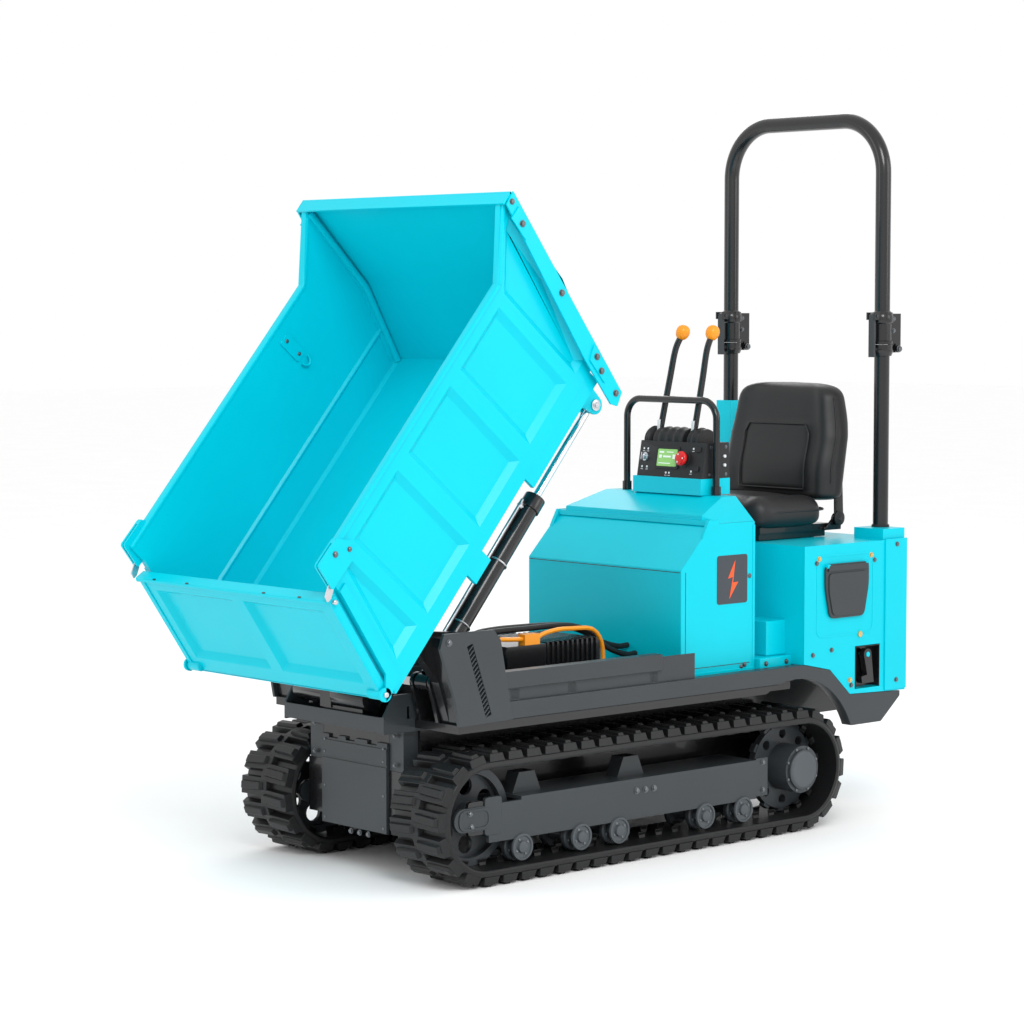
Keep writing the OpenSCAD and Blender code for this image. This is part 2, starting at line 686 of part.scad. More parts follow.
fold_pin_y = post_y + 60;
module rops_hoop() color(black) {
    hoop_tube(post_x, post_y, fold_z + 1, hoop_top - post_r, post_r, hoop_bend);
    both_sides() {
        translate([post_x, post_y, fold_z + 1]) cylinder(r = post_r + 5, h = 78);
        translate([post_x, post_y, fold_z + 78]) cylinder(r = post_r + 9, h = 26);
        // Lugs either side of the fold pin, and the pin
        for (x = [post_x - 17, post_x + 9]) {
            block(x, x + 8, post_y + 15, fold_pin_y + 12, fold_z + 3, fold_z + 100);
            block(x, x + 8, fold_pin_y - 12, fold_pin_y + 12, fold_z - 14, fold_z + 3);
            bar_along_x(12, x, x + 8, fold_pin_y, fold_z - 14);
        }
        bar_along_x(6, post_x - 20, post_x + 20, fold_pin_y, fold_z - 14);
        // Ears of the toggle latch
        for (x = [post_x - 18, post_x + 12]) difference() {
            block(x, x + 6, post_y - post_r - 32, post_y - post_r, fold_z + 80, fold_z + 104);
            bar_along_x(5 + fit, x - 1, x + 7, post_y - post_r - 20, fold_z + 92);
        }
    }
}
module rops_latch() {
    y = post_y - post_r - 20;
    side_plate(post_x - 11, post_x + 11) {
        translate([y, fold_z + 92]) circle(r = 9);
        translate([y - 9, fold_z - 24]) square([9, 116]);
        translate([y - 9, fold_z - 40]) square([10, 16]);
    }
    bar_along_x(5, post_x - 20, post_x + 20, y, fold_z + 92);
}
module rops_latch_left() color(dark_grey) rops_latch();
module rops_latch_right() color(dark_grey) mirror([1, 0, 0]) rops_latch();

// ---------------------------------------------------------------- seat

seat_y0 = body_y - 5;
seat_y1 = body_y + 385;
pan_z = body_top + 17;
cushion_z = pan_z + 28;
cushion_h = 84;
back_y = seat_y1 - 5;
back_z = cushion_z + 12;
back_bottom = cushion_z + cushion_h + 16;

module seat_slides() color(black) both_sides() {
    block(135, 165, seat_y0 + 40, seat_y1 - 60, body_top, body_top + 6);
    block(143, 157, seat_y0 + 40, seat_y1 - 60, body_top + 6, body_top + 16);
}
module seat_base() color(black) difference() {
    union() {
        block(-200, 200, seat_y0 + 35, seat_y1 - 20, pan_z + 6, cushion_z);
        both_sides() block(166, 186, seat_y0 + 45, seat_y1 - 30, body_top + 2, pan_z + 6);
        // Ears that hold the backrest's pivot
        both_sides() side_plate(207, 215) union() {
            translate([back_y, back_z]) circle(r = 22);
            polygon([[back_y - 60, pan_z + 6], [back_y + 20, pan_z + 6], [back_y + 22, back_z],
                [back_y - 22, back_z]]);
        }
        both_sides() block(200, 215, back_y - 60, back_y + 15, pan_z + 6, pan_z + 14);
        // Slide release bar
        block(-150, -138, seat_y0 + 5, seat_y0 + 35, pan_z + 8, pan_z + 16);
        block(138, 150, seat_y0 + 5, seat_y0 + 35, pan_z + 8, pan_z + 16);
        block(-150, 150, seat_y0 - 3, seat_y0 + 5, pan_z + 8, pan_z + 16);
    }
    both_sides() bar_along_x(8 + fit, 205, 217, back_y, back_z);
}
module seat_cushion() color([0.12, 0.12, 0.13]) hull() {
    block(-seat_x + 25, seat_x - 25, seat_y0 + 25, seat_y1 - 46, cushion_z, cushion_z + 10);
    block(-seat_x, seat_x, seat_y0, seat_y1 - 40, cushion_z + 25, cushion_z + 55);
    block(-seat_x + 30, seat_x - 30, seat_y0 + 30, seat_y1 - 50, cushion_z + 60, cushion_z + cushion_h);
}
module seat_backrest() color([0.12, 0.12, 0.13]) {
    hull() {
        block(-seat_x + 8, seat_x - 8, seat_y1 - 82, seat_y1 + 4, back_bottom + 10, back_bottom + 120);
        block(-seat_x + 52, seat_x - 52, seat_y1 - 22, seat_y1 + 44, back_bottom + back_h - 12,
            back_bottom + back_h);
        block(-seat_x + 18, seat_x - 18, seat_y1 - 42, seat_y1 + 40, back_bottom + 230, back_bottom + 290);
        block(-seat_x + 22, seat_x - 22, seat_y1 - 78, seat_y1 - 4, back_bottom, back_bottom + 20);
    }
    // Arms down to the pivot
    both_sides() side_plate(218, 226) union() {
        translate([back_y, back_z]) circle(r = 20);
        polygon([[back_y - 20, back_z], [back_y + 20, back_z], [back_y + 10, back_bottom + 90],
            [back_y - 40, back_bottom + 90]]);
    }
    both_sides() bar_along_x(8, 206, 226, back_y, back_z);
}

// ---------------------------------------------------------------- power bay

bay_y0 = hood_y - 433;
bay_y1 = hood_y - 203;
module power_unit() color(black) {
    difference() {
        block(-90, 240, bay_y0 - 290, bay_y1 + 15, deck_top, deck_top + 10);
        block(-32, 192, bay_y0 + 8, bay_y1 - 8, deck_top - 1, deck_top + 11);
        block(48, 206, bay_y0 - 152, bay_y0 - 12, deck_top - 1, deck_top + 11);
    }
    // Motor casing, open at its foot
    difference() {
        block(-40, 200, bay_y0, bay_y1, deck_top, deck_top + 165);
        block(-32, 192, bay_y0 + 8, bay_y1 - 8, deck_top - 1, deck_top + 157);
    }
    // Its cooling fins
    for (y = [bay_y0 + 5 : 20 : bay_y1 - 10]) {
        block(198, 208, y, y + 9, deck_top + 20, deck_top + 177);
        block(-34, 202, y, y + 9, deck_top + 165, deck_top + 177);
    }
    // Terminal box, open at its foot
    difference() {
        block(40, 214, bay_y0 - 160, bay_y0 - 4, deck_top, deck_top + 175);
        block(48, 206, bay_y0 - 152, bay_y0 - 12, deck_top - 1, deck_top + 167);
    }
    // Valve block with its unions
    block(60, 226, bay_y0 - 285, bay_y0 - 195, deck_top + 10, deck_top + 125);
    for (x = [105, 150, 205]) translate([x, bay_y0 - 240, deck_top + 125]) cylinder(r = 13, h = 14, $fn = 6);
}
module battery_pack() color(dark_grey) {
    block(-240, 240, hood_y + 30, hood_rear - 30, hood_z, hood_top - 260);
    for (x = [-150, 0, 150]) block(x - 18, x + 18, hood_y + 60, hood_y + 96, hood_top - 260, hood_top - 240);
}
pump_y = frame_front - 36;
pump_z = 520;
module hydraulic_pump() color(black) {
    difference() {
        bar_along_x(34, -200, -70, pump_y, pump_z);
        bar_along_x(26, -201, -150, pump_y, pump_z);
    }
    block(-70, -20, pump_y - 34, pump_y + 34, pump_z - 38, pump_z + 34);
    bar_along_x(38, -20, 130, pump_y, pump_z);
    block(-60, 120, pump_y - 30, pump_y + 30, belt_top + 52, pump_z - 30);
}

// Hoses from the valve block over the power unit and into the front of the hood
hose_a = [[150, -425, 606], [150, -425, 640], [150, -385, 676], [148, -300, 681], [146, -200, 680],
    [144, -100, 680], [144, -20, 674], [146, 60, 648], [148, 120, 600], [148, 200, 570], [148, 247, 570]];
hose_b = [[105, -425, 606], [105, -425, 640], [104, -380, 672], [102, -300, 680], [102, -200, 680],
    [104, -100, 678], [106, -20, 672], [108, 60, 648], [110, 120, 616], [112, 200, 592], [112, 247, 592]];
module hydraulic_hoses() color(black) {
    tube(smooth(hose_a, 4), 9, 10);
    tube(smooth(hose_b, 4), 9, 10);
}
// Cable from the valve block through a connector on the terminal box
cable_a = [[205, -425, 606], [205, -425, 635], [204, -380, 662], [202, -320, 660], [200, -276, 658]];
cable_b = [[200, -214, 658], [196, -180, 668], [190, -120, 674], [184, -60, 672], [180, 30, 664],
    [178, 72, 620], [176, 80, 560], [176, 80, 500], [176, 80, 467]];
module power_cable() color(orange) {
    tube(smooth(cable_a, 3), 7, 8);
    block(184, 214, -275, -215, 640, 672);
    tube(smooth(cable_b, 3), 7, 8);
}

// ---------------------------------------------------------------- tray

// Offset of a leaning end at height z above the tray floor
function lean_at(z) = z * tan(lean);
rear_bend_y = tray_rear - 68;
rim_front_y = tray_front + 135;
wall_front_y = tray_front + 24;
gate_lean = 16;
rim_start_y = tray_front + 212;

// Side outline of the tray, level
module tray_side() polygon([
    [wall_front_y, floor_z], [wall_front_y + (tray_h - 68) * tan(gate_lean), rim_z - 68], [rim_front_y, rim_z],
    [rear_bend_y, rim_z], [tray_rear + 112, head_z], [tray_rear + 139, head_z],
    [tray_rear + 105, floor_z + 255], [tray_rear + 8, floor_z]]);

// Pressed panels of a wall: front and rear limit of each
panel_ys = [[tray_front + 275, tray_front + 470], [tray_front + 540, tray_front + 790],
    [tray_front + 850, tray_rear - 118]];
latch_y = tray_front + 186;
latch_z = rim_z - 10;
module tray_tub() color(cyan) tipped() {
    // Floor
    block(-tray_in, tray_in, tray_front, tray_rear + 8, floor_z, floor_z + sheet_t);
    both_sides() {
        difference() {
            side_plate(tray_in, tray_x) tray_side();
            // Three square panels
            for (p = panel_ys)
                block(tray_in + sheet_t, tray_x + 1, p[0], p[1], floor_z + 52, rim_z - 48);
            // Narrow front panel
            side_plate(tray_in + sheet_t, tray_x + 1)
                polygon([[tray_front + 95, floor_z + 62], [tray_front + 215, floor_z + 62],
                    [tray_front + 215, rim_z - 62], [tray_front + 190, rim_z - 62]]);
            // Rear panel up to the raised rim
            side_plate(tray_in + sheet_t, tray_x + 1)
                polygon([[tray_rear - 76, floor_z + 44], [tray_rear - 24, floor_z + 44],
                    [tray_rear + 93, head_z - 60], [tray_rear + 60, head_z - 68], [tray_rear - 76, rim_z - 44]]);
        }
        // Rim flange
        block(tray_x, tray_x + 8, rim_start_y, rear_bend_y, rim_z - rim_h, rim_z);
        side_plate(tray_x, tray_x + 8) polygon([[rear_bend_y, rim_z], [rear_bend_y, rim_z - rim_h],
            [tray_rear + 108, head_z - 22], [tray_rear + 108, head_z - 8]]);
        // Corner post above the tailgate, slotted for the latch
        difference() {
            side_plate(tray_x - 6, tray_x + 14) polygon([[tray_front + 107, rim_z - 66],
                [tray_front + 127, rim_z + 16], [tray_front + 222, rim_z + 14], [tray_front + 250, rim_z - 34],
                [tray_front + 212, rim_z - 68]]);
            block(tray_x, tray_x + 7, tray_front + 90, tray_front + 205, rim_z - 75, rim_z + 30);
            bar_along_x(6 + fit, tray_x, tray_x + 15, latch_y, latch_z);
        }
        // Side gusset down to the tailgate pin
        difference() {
            side_plate(tray_x, tray_x + 8) {
                polygon([[gate_pin_y - 14, gate_pin_z - 14], [tray_front + 42, floor_z + 70],
                    [tray_front + 122, rim_z - 92], [tray_front + 150, rim_z - 92], [tray_front + 64, floor_z + 16]]);
                translate([gate_pin_y, gate_pin_z]) circle(r = 20);
            }
            bar_along_x(8 + fit, tray_x - 1, tray_x + 9, gate_pin_y, gate_pin_z);
        }
    }
    // Headboard: lower slanting sheet, upper steep sheet, top lip
    side_plate(-tray_in, tray_in) polygon([[tray_rear, floor_z + sheet_t], [tray_rear + 8, floor_z + sheet_t],
        [tray_rear + 104, floor_z + 255], [tray_rear + 136, head_z - 8], [tray_rear + 146, head_z],
        [tray_rear + 112, head_z], [tray_rear + 112, head_z - 6], [tray_rear + 130, head_z - 6],
        [tray_rear + 98, floor_z + 257]]);
}

module tray_underframe() color(cyan) tipped() {
    // Long beams with the tip bores
    both_sides() difference() {
        side_plate(beam_x0, beam_x1) polygon([[tip_y - 120, floor_z], [tip_y - 120, floor_z - 25],
            [tip_y - 60, floor_z - beam_d], [tray_rear - 20, floor_z - beam_d], [tray_rear - 20, floor_z]]);
        bar_along_x(pin_r + fit, beam_x0 - 1, beam_x1 + 1, tip_y, tip_z);
    }
    // Cross members
    for (y = [tip_y + 260, tray_rear - 330]) block(-beam_x0, beam_x0, y, y + 50, floor_z - 45, floor_z);
    block(-beam_x0, beam_x0, tray_rear - 70, tray_rear - 20, floor_z - beam_d, floor_z);
    // Side strips under the walls
    both_sides() for (s = [[tray_front + 430, tray_front + 515], [tray_front + 770, tray_rear - 30]])
        block(tray_x - 16, tray_x - 2, s[0], s[1], floor_z - 44, floor_z);
    // Clevis ears of the tip cylinders
    both_sides() for (x = [cyl_x - 26, cyl_x + 14]) {
        side_plate(x, x + 12 - (x > cyl_x ? 4 : 0)) union() {
            translate([rod_level[0], rod_level[1]]) circle(r = 28);
            polygon([[rod_level[0] - 28, rod_level[1]], [rod_level[0] + 28, rod_level[1]],
                [rod_level[0] + 40, floor_z - 60], [rod_level[0] + 40, floor_z],
                [rod_level[0] - 60, floor_z], [rod_level[0] - 60, floor_z - 60]]);
        }
    }
}
// Where the rod pin is when the tray is level
rod_level = [tip_y + (rod_pin_y - tip_y) * cos(tip_angle) + (rod_pin_z - tip_z) * sin(tip_angle),
    tip_z - (rod_pin_y - tip_y) * sin(tip_angle) + (rod_pin_z - tip_z) * cos(tip_angle)];

head_bar_x = tray_x + 20;
module headboard_bars() color(cyan) tipped() both_sides() {
    // Long edge bar that runs past the floor
    side_plate(head_bar_x, head_bar_x + 6) polygon([[tray_rear + 110, head_z - 4], [tray_rear + 154, head_z],
        [tray_rear - 10, floor_z - 118], [tray_rear - 52, floor_z - 130], [tray_rear - 64, floor_z - 106],
        [tray_rear - 30, floor_z + 60]]);
    // Spacers that carry it off the wall
    for (z = [30, 330, 520]) block(tray_x, head_bar_x, tray_rear - 14 + lean_at(z), tray_rear + 6 + lean_at(z),
        floor_z + z - 14, floor_z + z + 14);
    // Doubler plates
    side_plate(head_bar_x + 6, head_bar_x + 11) polygon([[tray_rear - 22, floor_z + 44],
        [tray_rear + 22, floor_z + 60], [tray_rear + 6, floor_z - 30], [tray_rear - 36, floor_z - 44]]);
    side_plate(head_bar_x + 6, head_bar_x + 11) polygon([[tray_rear + 78, head_z - 120],
        [tray_rear + 122, head_z - 105], [tray_rear + 132, head_z - 40], [tray_rear + 90, head_z - 40]]);
}

// Tailgate: a pressed panel that leans back, hinged at its foot
gate_h = 366;
module tailgate() color(cyan) tipped() translate([0, gate_pin_y, gate_pin_z]) rotate([-gate_lean, 0, 0]) {
    difference() {
        union() {
            block(-tray_x + 4, tray_x - 4, -2, 22, -14, gate_h - 34);
            // Top ledge
            block(-tray_x + 4, tray_x - 4, -14, 22, gate_h - 40, gate_h - 34);
            // Pivot tubes
            both_sides() bar_along_x(16, tray_x - 60, tray_x - 4, 0, 0);
        }
        for (x = [[-tray_x + 60, -25], [25, tray_x - 60]])
            block(x[0], x[1], -3, 16, 32, gate_h - 84);
    }
    // Pins and latch studs
    both_sides() bar_along_x(8, tray_x - 6, tray_x + 14, 0, 0);
    both_sides() bar_along_x(7, tray_x - 6, tray_x + 10, 6, gate_h - 50);
}

// Swing latch in the slot of a corner post
module tailgate_latch() {
    side_plate(tray_x + 1, tray_x + 6) {
        translate([latch_y, latch_z]) circle(r = 13);
        translate([latch_y, latch_z]) polygon([[5, 12], [-70, -40], [-104, -52], [-110, -68], [-96, -70],
            [-74, -62], [-10, -8]]);
    }
    bar_along_x(6, tray_x + 1, tray_x + 18, latch_y, latch_z);
}
module tailgate_latch_left() color(steel) tipped() tailgate_latch();
module tailgate_latch_right() color(steel) tipped() mirror([1, 0, 0]) tailgate_latch();

// ---------------------------------------------------------------- tip cylinders

// Draws a piece along the cylinder's axis: +Z from the base pin towards the rod pin
module along_cylinder() translate([0, base_y, base_z]) rotate([cyl_angle - 90, 0, 0]) children();

module cylinder_barrels() color(black) both_sides() {
    difference() {
        along_cylinder() union() {
            translate([cyl_x, 0, 20]) cylinder(r = barrel_r, h = barrel_len - 20);
            bar_along_x(24, cyl_x - barrel_r + 3, cyl_x + barrel_r - 3, 0, 0);
            translate([cyl_x, 0, barrel_len - 40]) cylinder(r = barrel_r + 4, h = 40);
            // Feed pipe along the back of the barrel
            translate([cyl_x, -barrel_r - 5, 90]) cylinder(r = 6, h = barrel_len - 150);
        }
        along_cylinder() translate([cyl_x, 0, 60]) cylinder(r = rod_r + fit, h = barrel_len);
    }
    bar_along_x(pin_r, cyl_x - barrel_r - 18, cyl_x + barrel_r + 18, base_y, base_z);
}
module cylinder_rods() color(steel) both_sides() along_cylinder() {
    translate([cyl_x, 0, 400]) cylinder(r = rod_r, h = cyl_len - 400);
    bar_along_x(24, cyl_x - rod_r - gap, cyl_x + rod_r + gap, 0, cyl_len);
}

// ---------------------------------------------------------------- fasteners

module bolt_x(x, y, z, r = 7) {
    bar_along_x(r * 1.25, x, x + 2, y, z);
    translate([x + 2, y, z]) rotate([0, 90, 0]) cylinder(r = r, h = 5, $fn = 6);
}
module body_bolts() color(steel) {
    both_sides() {
        bolt_x(rail_x + 10, tip_y + 62, tip_z - 11);
        bolt_x(238, frame_front + 86, 486, 8);
        for (p = [[body_y + 40, low_rail_top + 28], [body_y + 128, low_rail_top + 38]])
            bolt_x(rail_x, p[0], p[1], 6);
        for (p = [[body_y + 55, body_top - 56], [body_y + 330, body_top - 60], [body_rear - 263, deck_top - 30]])
            bolt_x(rail_x, p[0], p[1], 6);
        for (y = [hood_y + 30, hood_rear - 45]) bolt_x(hood_x, y, hood_z + 24, 6);
        for (y = [idler_y + 612, idler_y + 648, idler_y + 684]) bolt_x(beam_out, y, 205, 7);
        for (p = [[sprocket_y - 160, 238], [sprocket_y - 160, 146]]) bolt_x(beam_out - 2, p[0], p[1], 6);
        bolt_x(rail_x + 5, body_rear - 50, deck_top - 30, 6);
        bolt_x(rail_x + 5, body_rear - 50, cap_top - 50, 6);
    }
}
module tray_bolts() color(steel) tipped() both_sides() {
    for (z = [-100, 250]) bolt_x(head_bar_x + 6, tray_rear - 4 + lean_at(z), floor_z + z, 7);
    bolt_x(head_bar_x + 11, tray_rear + 2, floor_z + 30, 7);
    bolt_x(head_bar_x + 11, tray_rear - 18, floor_z - 10, 7);
    bolt_x(head_bar_x + 11, tray_rear + 104, head_z - 80, 7);
    bolt_x(tray_x + 14, tray_front + 226, rim_z - 40, 5);
}

// ---------------------------------------------------------------- drawing

main_frame();
front_plates();
side_rails();
louvre_covers();
track_frames();
rubber_track_left();
rubber_track_right();
travel_motors();
hood();
console_plinth();
console_housing();
display_screen();
guard_bar();
lever_boots();
seat_box();
rear_covers();
rops_posts();
power_unit();
battery_pack();
hydraulic_pump();
hydraulic_hoses();
power_cable();
seat_slides();
body_bolts();
tray_tub();
tray_underframe();
headboard_bars();
tray_bolts();
tailgate();
tailgate_latch_left();
tailgate_latch_right();
cylinder_barrels();
cylinder_rods();
seat_base();
seat_cushion();
seat_backrest();
rops_hoop();
rops_latch_left();
rops_latch_right();
control_lever_left();
control_lever_right();
stop_button();
push_button_upper();
push_button_lower();
charging_flap();
tow_hook();
sprocket_left();
sprocket_right();
idler_left();
idler_right();
roller_left_1();
roller_left_2();
roller_left_3();
roller_left_4();
roller_left_5();
roller_right_1();
roller_right_2();
roller_right_3();
roller_right_4();
roller_right_5();
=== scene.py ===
"""Looks of the ride-on tracked mini dumper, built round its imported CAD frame. Metres, +Z up, -Y forward."""
import json
from math import copysign, cos, exp, pi, radians, sin, tan, tau

import bmesh
import bpy
from mathutils import Matrix, Vector
from mathutils.geometry import tessellate_polygon


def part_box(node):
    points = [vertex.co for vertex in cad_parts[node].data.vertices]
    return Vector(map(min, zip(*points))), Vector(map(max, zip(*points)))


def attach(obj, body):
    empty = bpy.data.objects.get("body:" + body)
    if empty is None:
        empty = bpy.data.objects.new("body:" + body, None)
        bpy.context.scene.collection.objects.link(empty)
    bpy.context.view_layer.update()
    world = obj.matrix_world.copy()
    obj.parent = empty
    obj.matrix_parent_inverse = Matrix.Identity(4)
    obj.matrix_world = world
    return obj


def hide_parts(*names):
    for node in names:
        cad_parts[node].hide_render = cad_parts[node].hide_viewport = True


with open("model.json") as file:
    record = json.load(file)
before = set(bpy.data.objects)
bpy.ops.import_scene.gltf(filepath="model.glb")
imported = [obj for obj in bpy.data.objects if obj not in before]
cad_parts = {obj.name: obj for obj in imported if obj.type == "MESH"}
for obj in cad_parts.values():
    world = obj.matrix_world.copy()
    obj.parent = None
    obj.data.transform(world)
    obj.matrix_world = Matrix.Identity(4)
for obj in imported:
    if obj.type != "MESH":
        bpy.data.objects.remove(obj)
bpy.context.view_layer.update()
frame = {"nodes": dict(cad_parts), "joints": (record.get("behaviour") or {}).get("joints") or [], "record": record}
NODES = frame["nodes"]
SIDES = (("left", 1), ("right", -1))

# ---------------------------------------------------------------- camera, floor and lights

VIEW_FROM = Vector((6.5227, -6.0074, 1.65))
VIEW_TURN = radians(48)
VIEW_DOWN = radians(4.12)
LENS_MM = 101.95
WORLD_LIGHT = 1.0


def make_camera():
    """The photograph's viewing angle, fitted to its outline."""
    data = bpy.data.cameras.new("camera")
    data.lens = LENS_MM
    data.sensor_width = 36.0
    cam = bpy.data.objects.new("camera", data)
    cam.location = VIEW_FROM
    cam.rotation_euler = (pi / 2 - VIEW_DOWN, 0, VIEW_TURN)
    bpy.context.scene.collection.objects.link(cam)
    bpy.context.scene.camera = cam


def area_light(name, place, target, size, power, colour=(1, 1, 1)):
    data = bpy.data.lights.new(name, "AREA")
    data.shape = "DISK"
    data.size = size
    data.energy = power
    data.color = colour
    light = bpy.data.objects.new(name, data)
    light.location = place
    light.rotation_euler = (Vector(target) - Vector(place)).to_track_quat("-Z", "Y").to_euler()
    bpy.context.scene.collection.objects.link(light)


def make_studio():
    """White surroundings, four soft lights and a plain pale floor."""
    world = bpy.data.worlds.new("studio")
    bpy.context.scene.world = world
    world.use_nodes = True
    world.node_tree.nodes["Background"].inputs[0].default_value = (1, 1, 1, 1)
    world.node_tree.nodes["Background"].inputs[1].default_value = WORLD_LIGHT
    bpy.context.scene.view_settings.view_transform = "Standard"
    area_light("key", (5.0, -3.0, 5.0), (0, 0, 0.8), 3.0, 215)
    area_light("fill", (5.5, 3.5, 3.0), (0, 0, 0.8), 3.0, 45)
    area_light("front", (-2.5, -5.5, 3.0), (0, 0, 0.8), 3.0, 30)
    area_light("back", (-4.5, 4.5, 4.5), (0, 0, 0.9), 3.0, 45)
    bm = bmesh.new()
    bmesh.ops.create_grid(bm, x_segments=1, y_segments=1, size=40)
    floor = finish_mesh("floor", bm)
    assign(floor, FLOOR)


# ---------------------------------------------------------------- materials

COAT_ROUGHNESS = 0.08
DRIFT_SCALE = 2.5       # how finely a surface's colour drifts


def node_material(name, colour, rough, metal=0.0, coat=0.0, grain=60.0, tint=0.06, bump=0.0002, spread=0.05,
        shine=0.35):
    """A surface whose colour and roughness drift with a soft noise, and whose grain is a fine bump."""
    mat = bpy.data.materials.new(name)
    mat.use_nodes = True
    tree = mat.node_tree
    shader = tree.nodes["Principled BSDF"]
    place = tree.nodes.new("ShaderNodeTexCoord")

    def noise(scale, detail):
        node = tree.nodes.new("ShaderNodeTexNoise")
        node.inputs["Scale"].default_value = scale
        node.inputs["Detail"].default_value = detail
        tree.links.new(place.outputs["Object"], node.inputs["Vector"])
        return node

    for key, value in (("Metallic", metal), ("Coat Weight", coat), ("Coat Roughness", COAT_ROUGHNESS),
            ("Specular IOR Level", shine)):
        shader.inputs[key].default_value = value
    soft = noise(DRIFT_SCALE, 4.0)
    ramp = tree.nodes.new("ShaderNodeValToRGB")
    ramp.color_ramp.elements[0].position = 0.3
    ramp.color_ramp.elements[1].position = 0.7
    ramp.color_ramp.elements[0].color = tuple(c * (1 - tint) for c in colour) + (1,)
    ramp.color_ramp.elements[1].color = tuple(min(1, c * (1 + tint)) for c in colour) + (1,)
    tree.links.new(soft.outputs["Fac"], ramp.inputs["Fac"])
    tree.links.new(ramp.outputs["Color"], shader.inputs["Base Color"])
    spread_node = tree.nodes.new("ShaderNodeMapRange")
    spread_node.inputs["To Min"].default_value = max(0.02, rough - spread)
    spread_node.inputs["To Max"].default_value = min(1, rough + spread)
    tree.links.new(soft.outputs["Fac"], spread_node.inputs["Value"])
    tree.links.new(spread_node.outputs["Result"], shader.inputs["Roughness"])
    fine = noise(grain, 3.0)
    relief = tree.nodes.new("ShaderNodeBump")
    relief.inputs["Strength"].default_value = 0.6
    relief.inputs["Distance"].default_value = bump
    tree.links.new(fine.outputs["Fac"], relief.inputs["Height"])
    tree.links.new(relief.outputs["Normal"], shader.inputs["Normal"])
    return mat


CYAN = node_material("cyan_paint", (0.0, 0.55, 0.67), 0.3, coat=0.04, tint=0.03, grain=90, bump=0.0001,
        shine=0.16)
GREY = node_material("grey_paint", (0.032, 0.038, 0.042), 0.38, coat=0.1, tint=0.08, grain=140)
BLACK = node_material("black_paint", (0.008, 0.008, 0.009), 0.26, coat=0.4, tint=0.15, grain=120)
RUBBER = node_material("track_rubber", (0.0085, 0.0088, 0.0095), 0.42, tint=0.25, grain=220, bump=0.0006)
HOSE = node_material("hose_rubber", (0.014, 0.014, 0.015), 0.45, tint=0.2, grain=300, bump=0.0003)
PLASTIC = node_material("black_plastic", (0.016, 0.016, 0.017), 0.45, tint=0.15, grain=500, bump=0.0002)
VINYL = node_material("seat_vinyl", (0.014, 0.014, 0.015), 0.42, tint=0.2, grain=420, bump=0.0006)
BOLT = node_material("bolt_steel", (0.16, 0.17, 0.18), 0.38, metal=0.9, tint=0.1, grain=200)
ZINC = node_material("zinc_steel", (0.6, 0.61, 0.63), 0.32, metal=1.0, tint=0.08, grain=200)
CHROME = node_material("chrome_rod", (0.85, 0.86, 0.88), 0.1, metal=1.0, tint=0.02, grain=40, bump=0.00002)
RED = node_material("red_plastic", (0.7, 0.01, 0.01), 0.3, coat=0.3, tint=0.05)
ORANGE = node_material("orange_plastic", (0.95, 0.33, 0.01), 0.35, coat=0.2, tint=0.05)
PALE = node_material("pale_plastic", (0.72, 0.74, 0.76), 0.4, tint=0.04)
SCREEN = node_material("green_screen", (0.3, 0.62, 0.16), 0.15, coat=0.6, tint=0.1, grain=30)
SCREEN_MARK = node_material("screen_mark", (0.9, 0.95, 0.85), 0.2, coat=0.5, tint=0.02, grain=30)
KNOB = node_material("orange_grip", (0.92, 0.3, 0.01), 0.38, coat=0.15, tint=0.06, grain=260, bump=0.0002)
DECAL = node_material("dark_plate", (0.035, 0.045, 0.055), 0.3, coat=0.3, tint=0.08)
MARK = node_material("orange_red_mark", (0.9, 0.1, 0.02), 0.35, tint=0.04)
BRASS = node_material("brass", (0.72, 0.52, 0.22), 0.28, metal=1.0, tint=0.08, grain=200)
STEEL = node_material("wheel_paint", (0.034, 0.04, 0.045), 0.4, coat=0.1, tint=0.15, grain=160, bump=0.0003)
CAP_GREY = node_material("hub_paint", (0.06, 0.07, 0.078), 0.4, coat=0.15, tint=0.08, grain=140)
FLOOR = node_material("floor", (0.985, 0.985, 0.985), 0.9, tint=0.01, grain=20, bump=0.00005)
SLOT_LOOKS = {"cyan_paint": CYAN, "grey_paint": GREY, "black_steel": BLACK, "track_rubber": RUBBER,
        "hose_rubber": HOSE, "black_plastic": PLASTIC, "screen_plastic": SCREEN, "red_plastic": RED,
        "orange_plastic": ORANGE, "pale_plastic": PALE, "zinc_steel": ZINC, "chrome_rod": CHROME,
        "wheel_steel": STEEL, "seat_cover": VINYL, }


def assign(obj, mat):
    obj.data.materials.clear()
    obj.data.materials.append(mat)


# ---------------------------------------------------------------- mesh helpers

EDGE_ANGLE = 28         # degrees: sharper edges than this are bevelled


def add_bevel(obj, width, segments):
    mod = obj.modifiers.new("edges", "BEVEL")
    mod.width = width
    mod.segments = segments
    mod.limit_method = "ANGLE"
    mod.angle_limit = radians(EDGE_ANGLE)
    mod.harden_normals = True


def finish_mesh(name, bm, mat=None, body=None, bevel=0.0, smooth=35, segments=2):
    """Turns a bmesh into a shown piece: bevelled, smoothed by angle, painted, and riding on a CAD body."""
    bmesh.ops.remove_doubles(bm, verts=bm.verts, dist=1e-6)
    bmesh.ops.recalc_face_normals(bm, faces=bm.faces)
    mesh = bpy.data.meshes.new(name)
    bm.to_mesh(mesh)
    bm.free()
    for poly in mesh.polygons:
        poly.use_smooth = True
    mesh.set_sharp_from_angle(angle=radians(smooth))
    obj = bpy.data.objects.new(name, mesh)
    bpy.context.scene.collection.objects.link(obj)
    if bevel:
        add_bevel(obj, bevel, segments)
    if mat:
        assign(obj, mat)
    if body:
        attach(obj, body)
    return obj


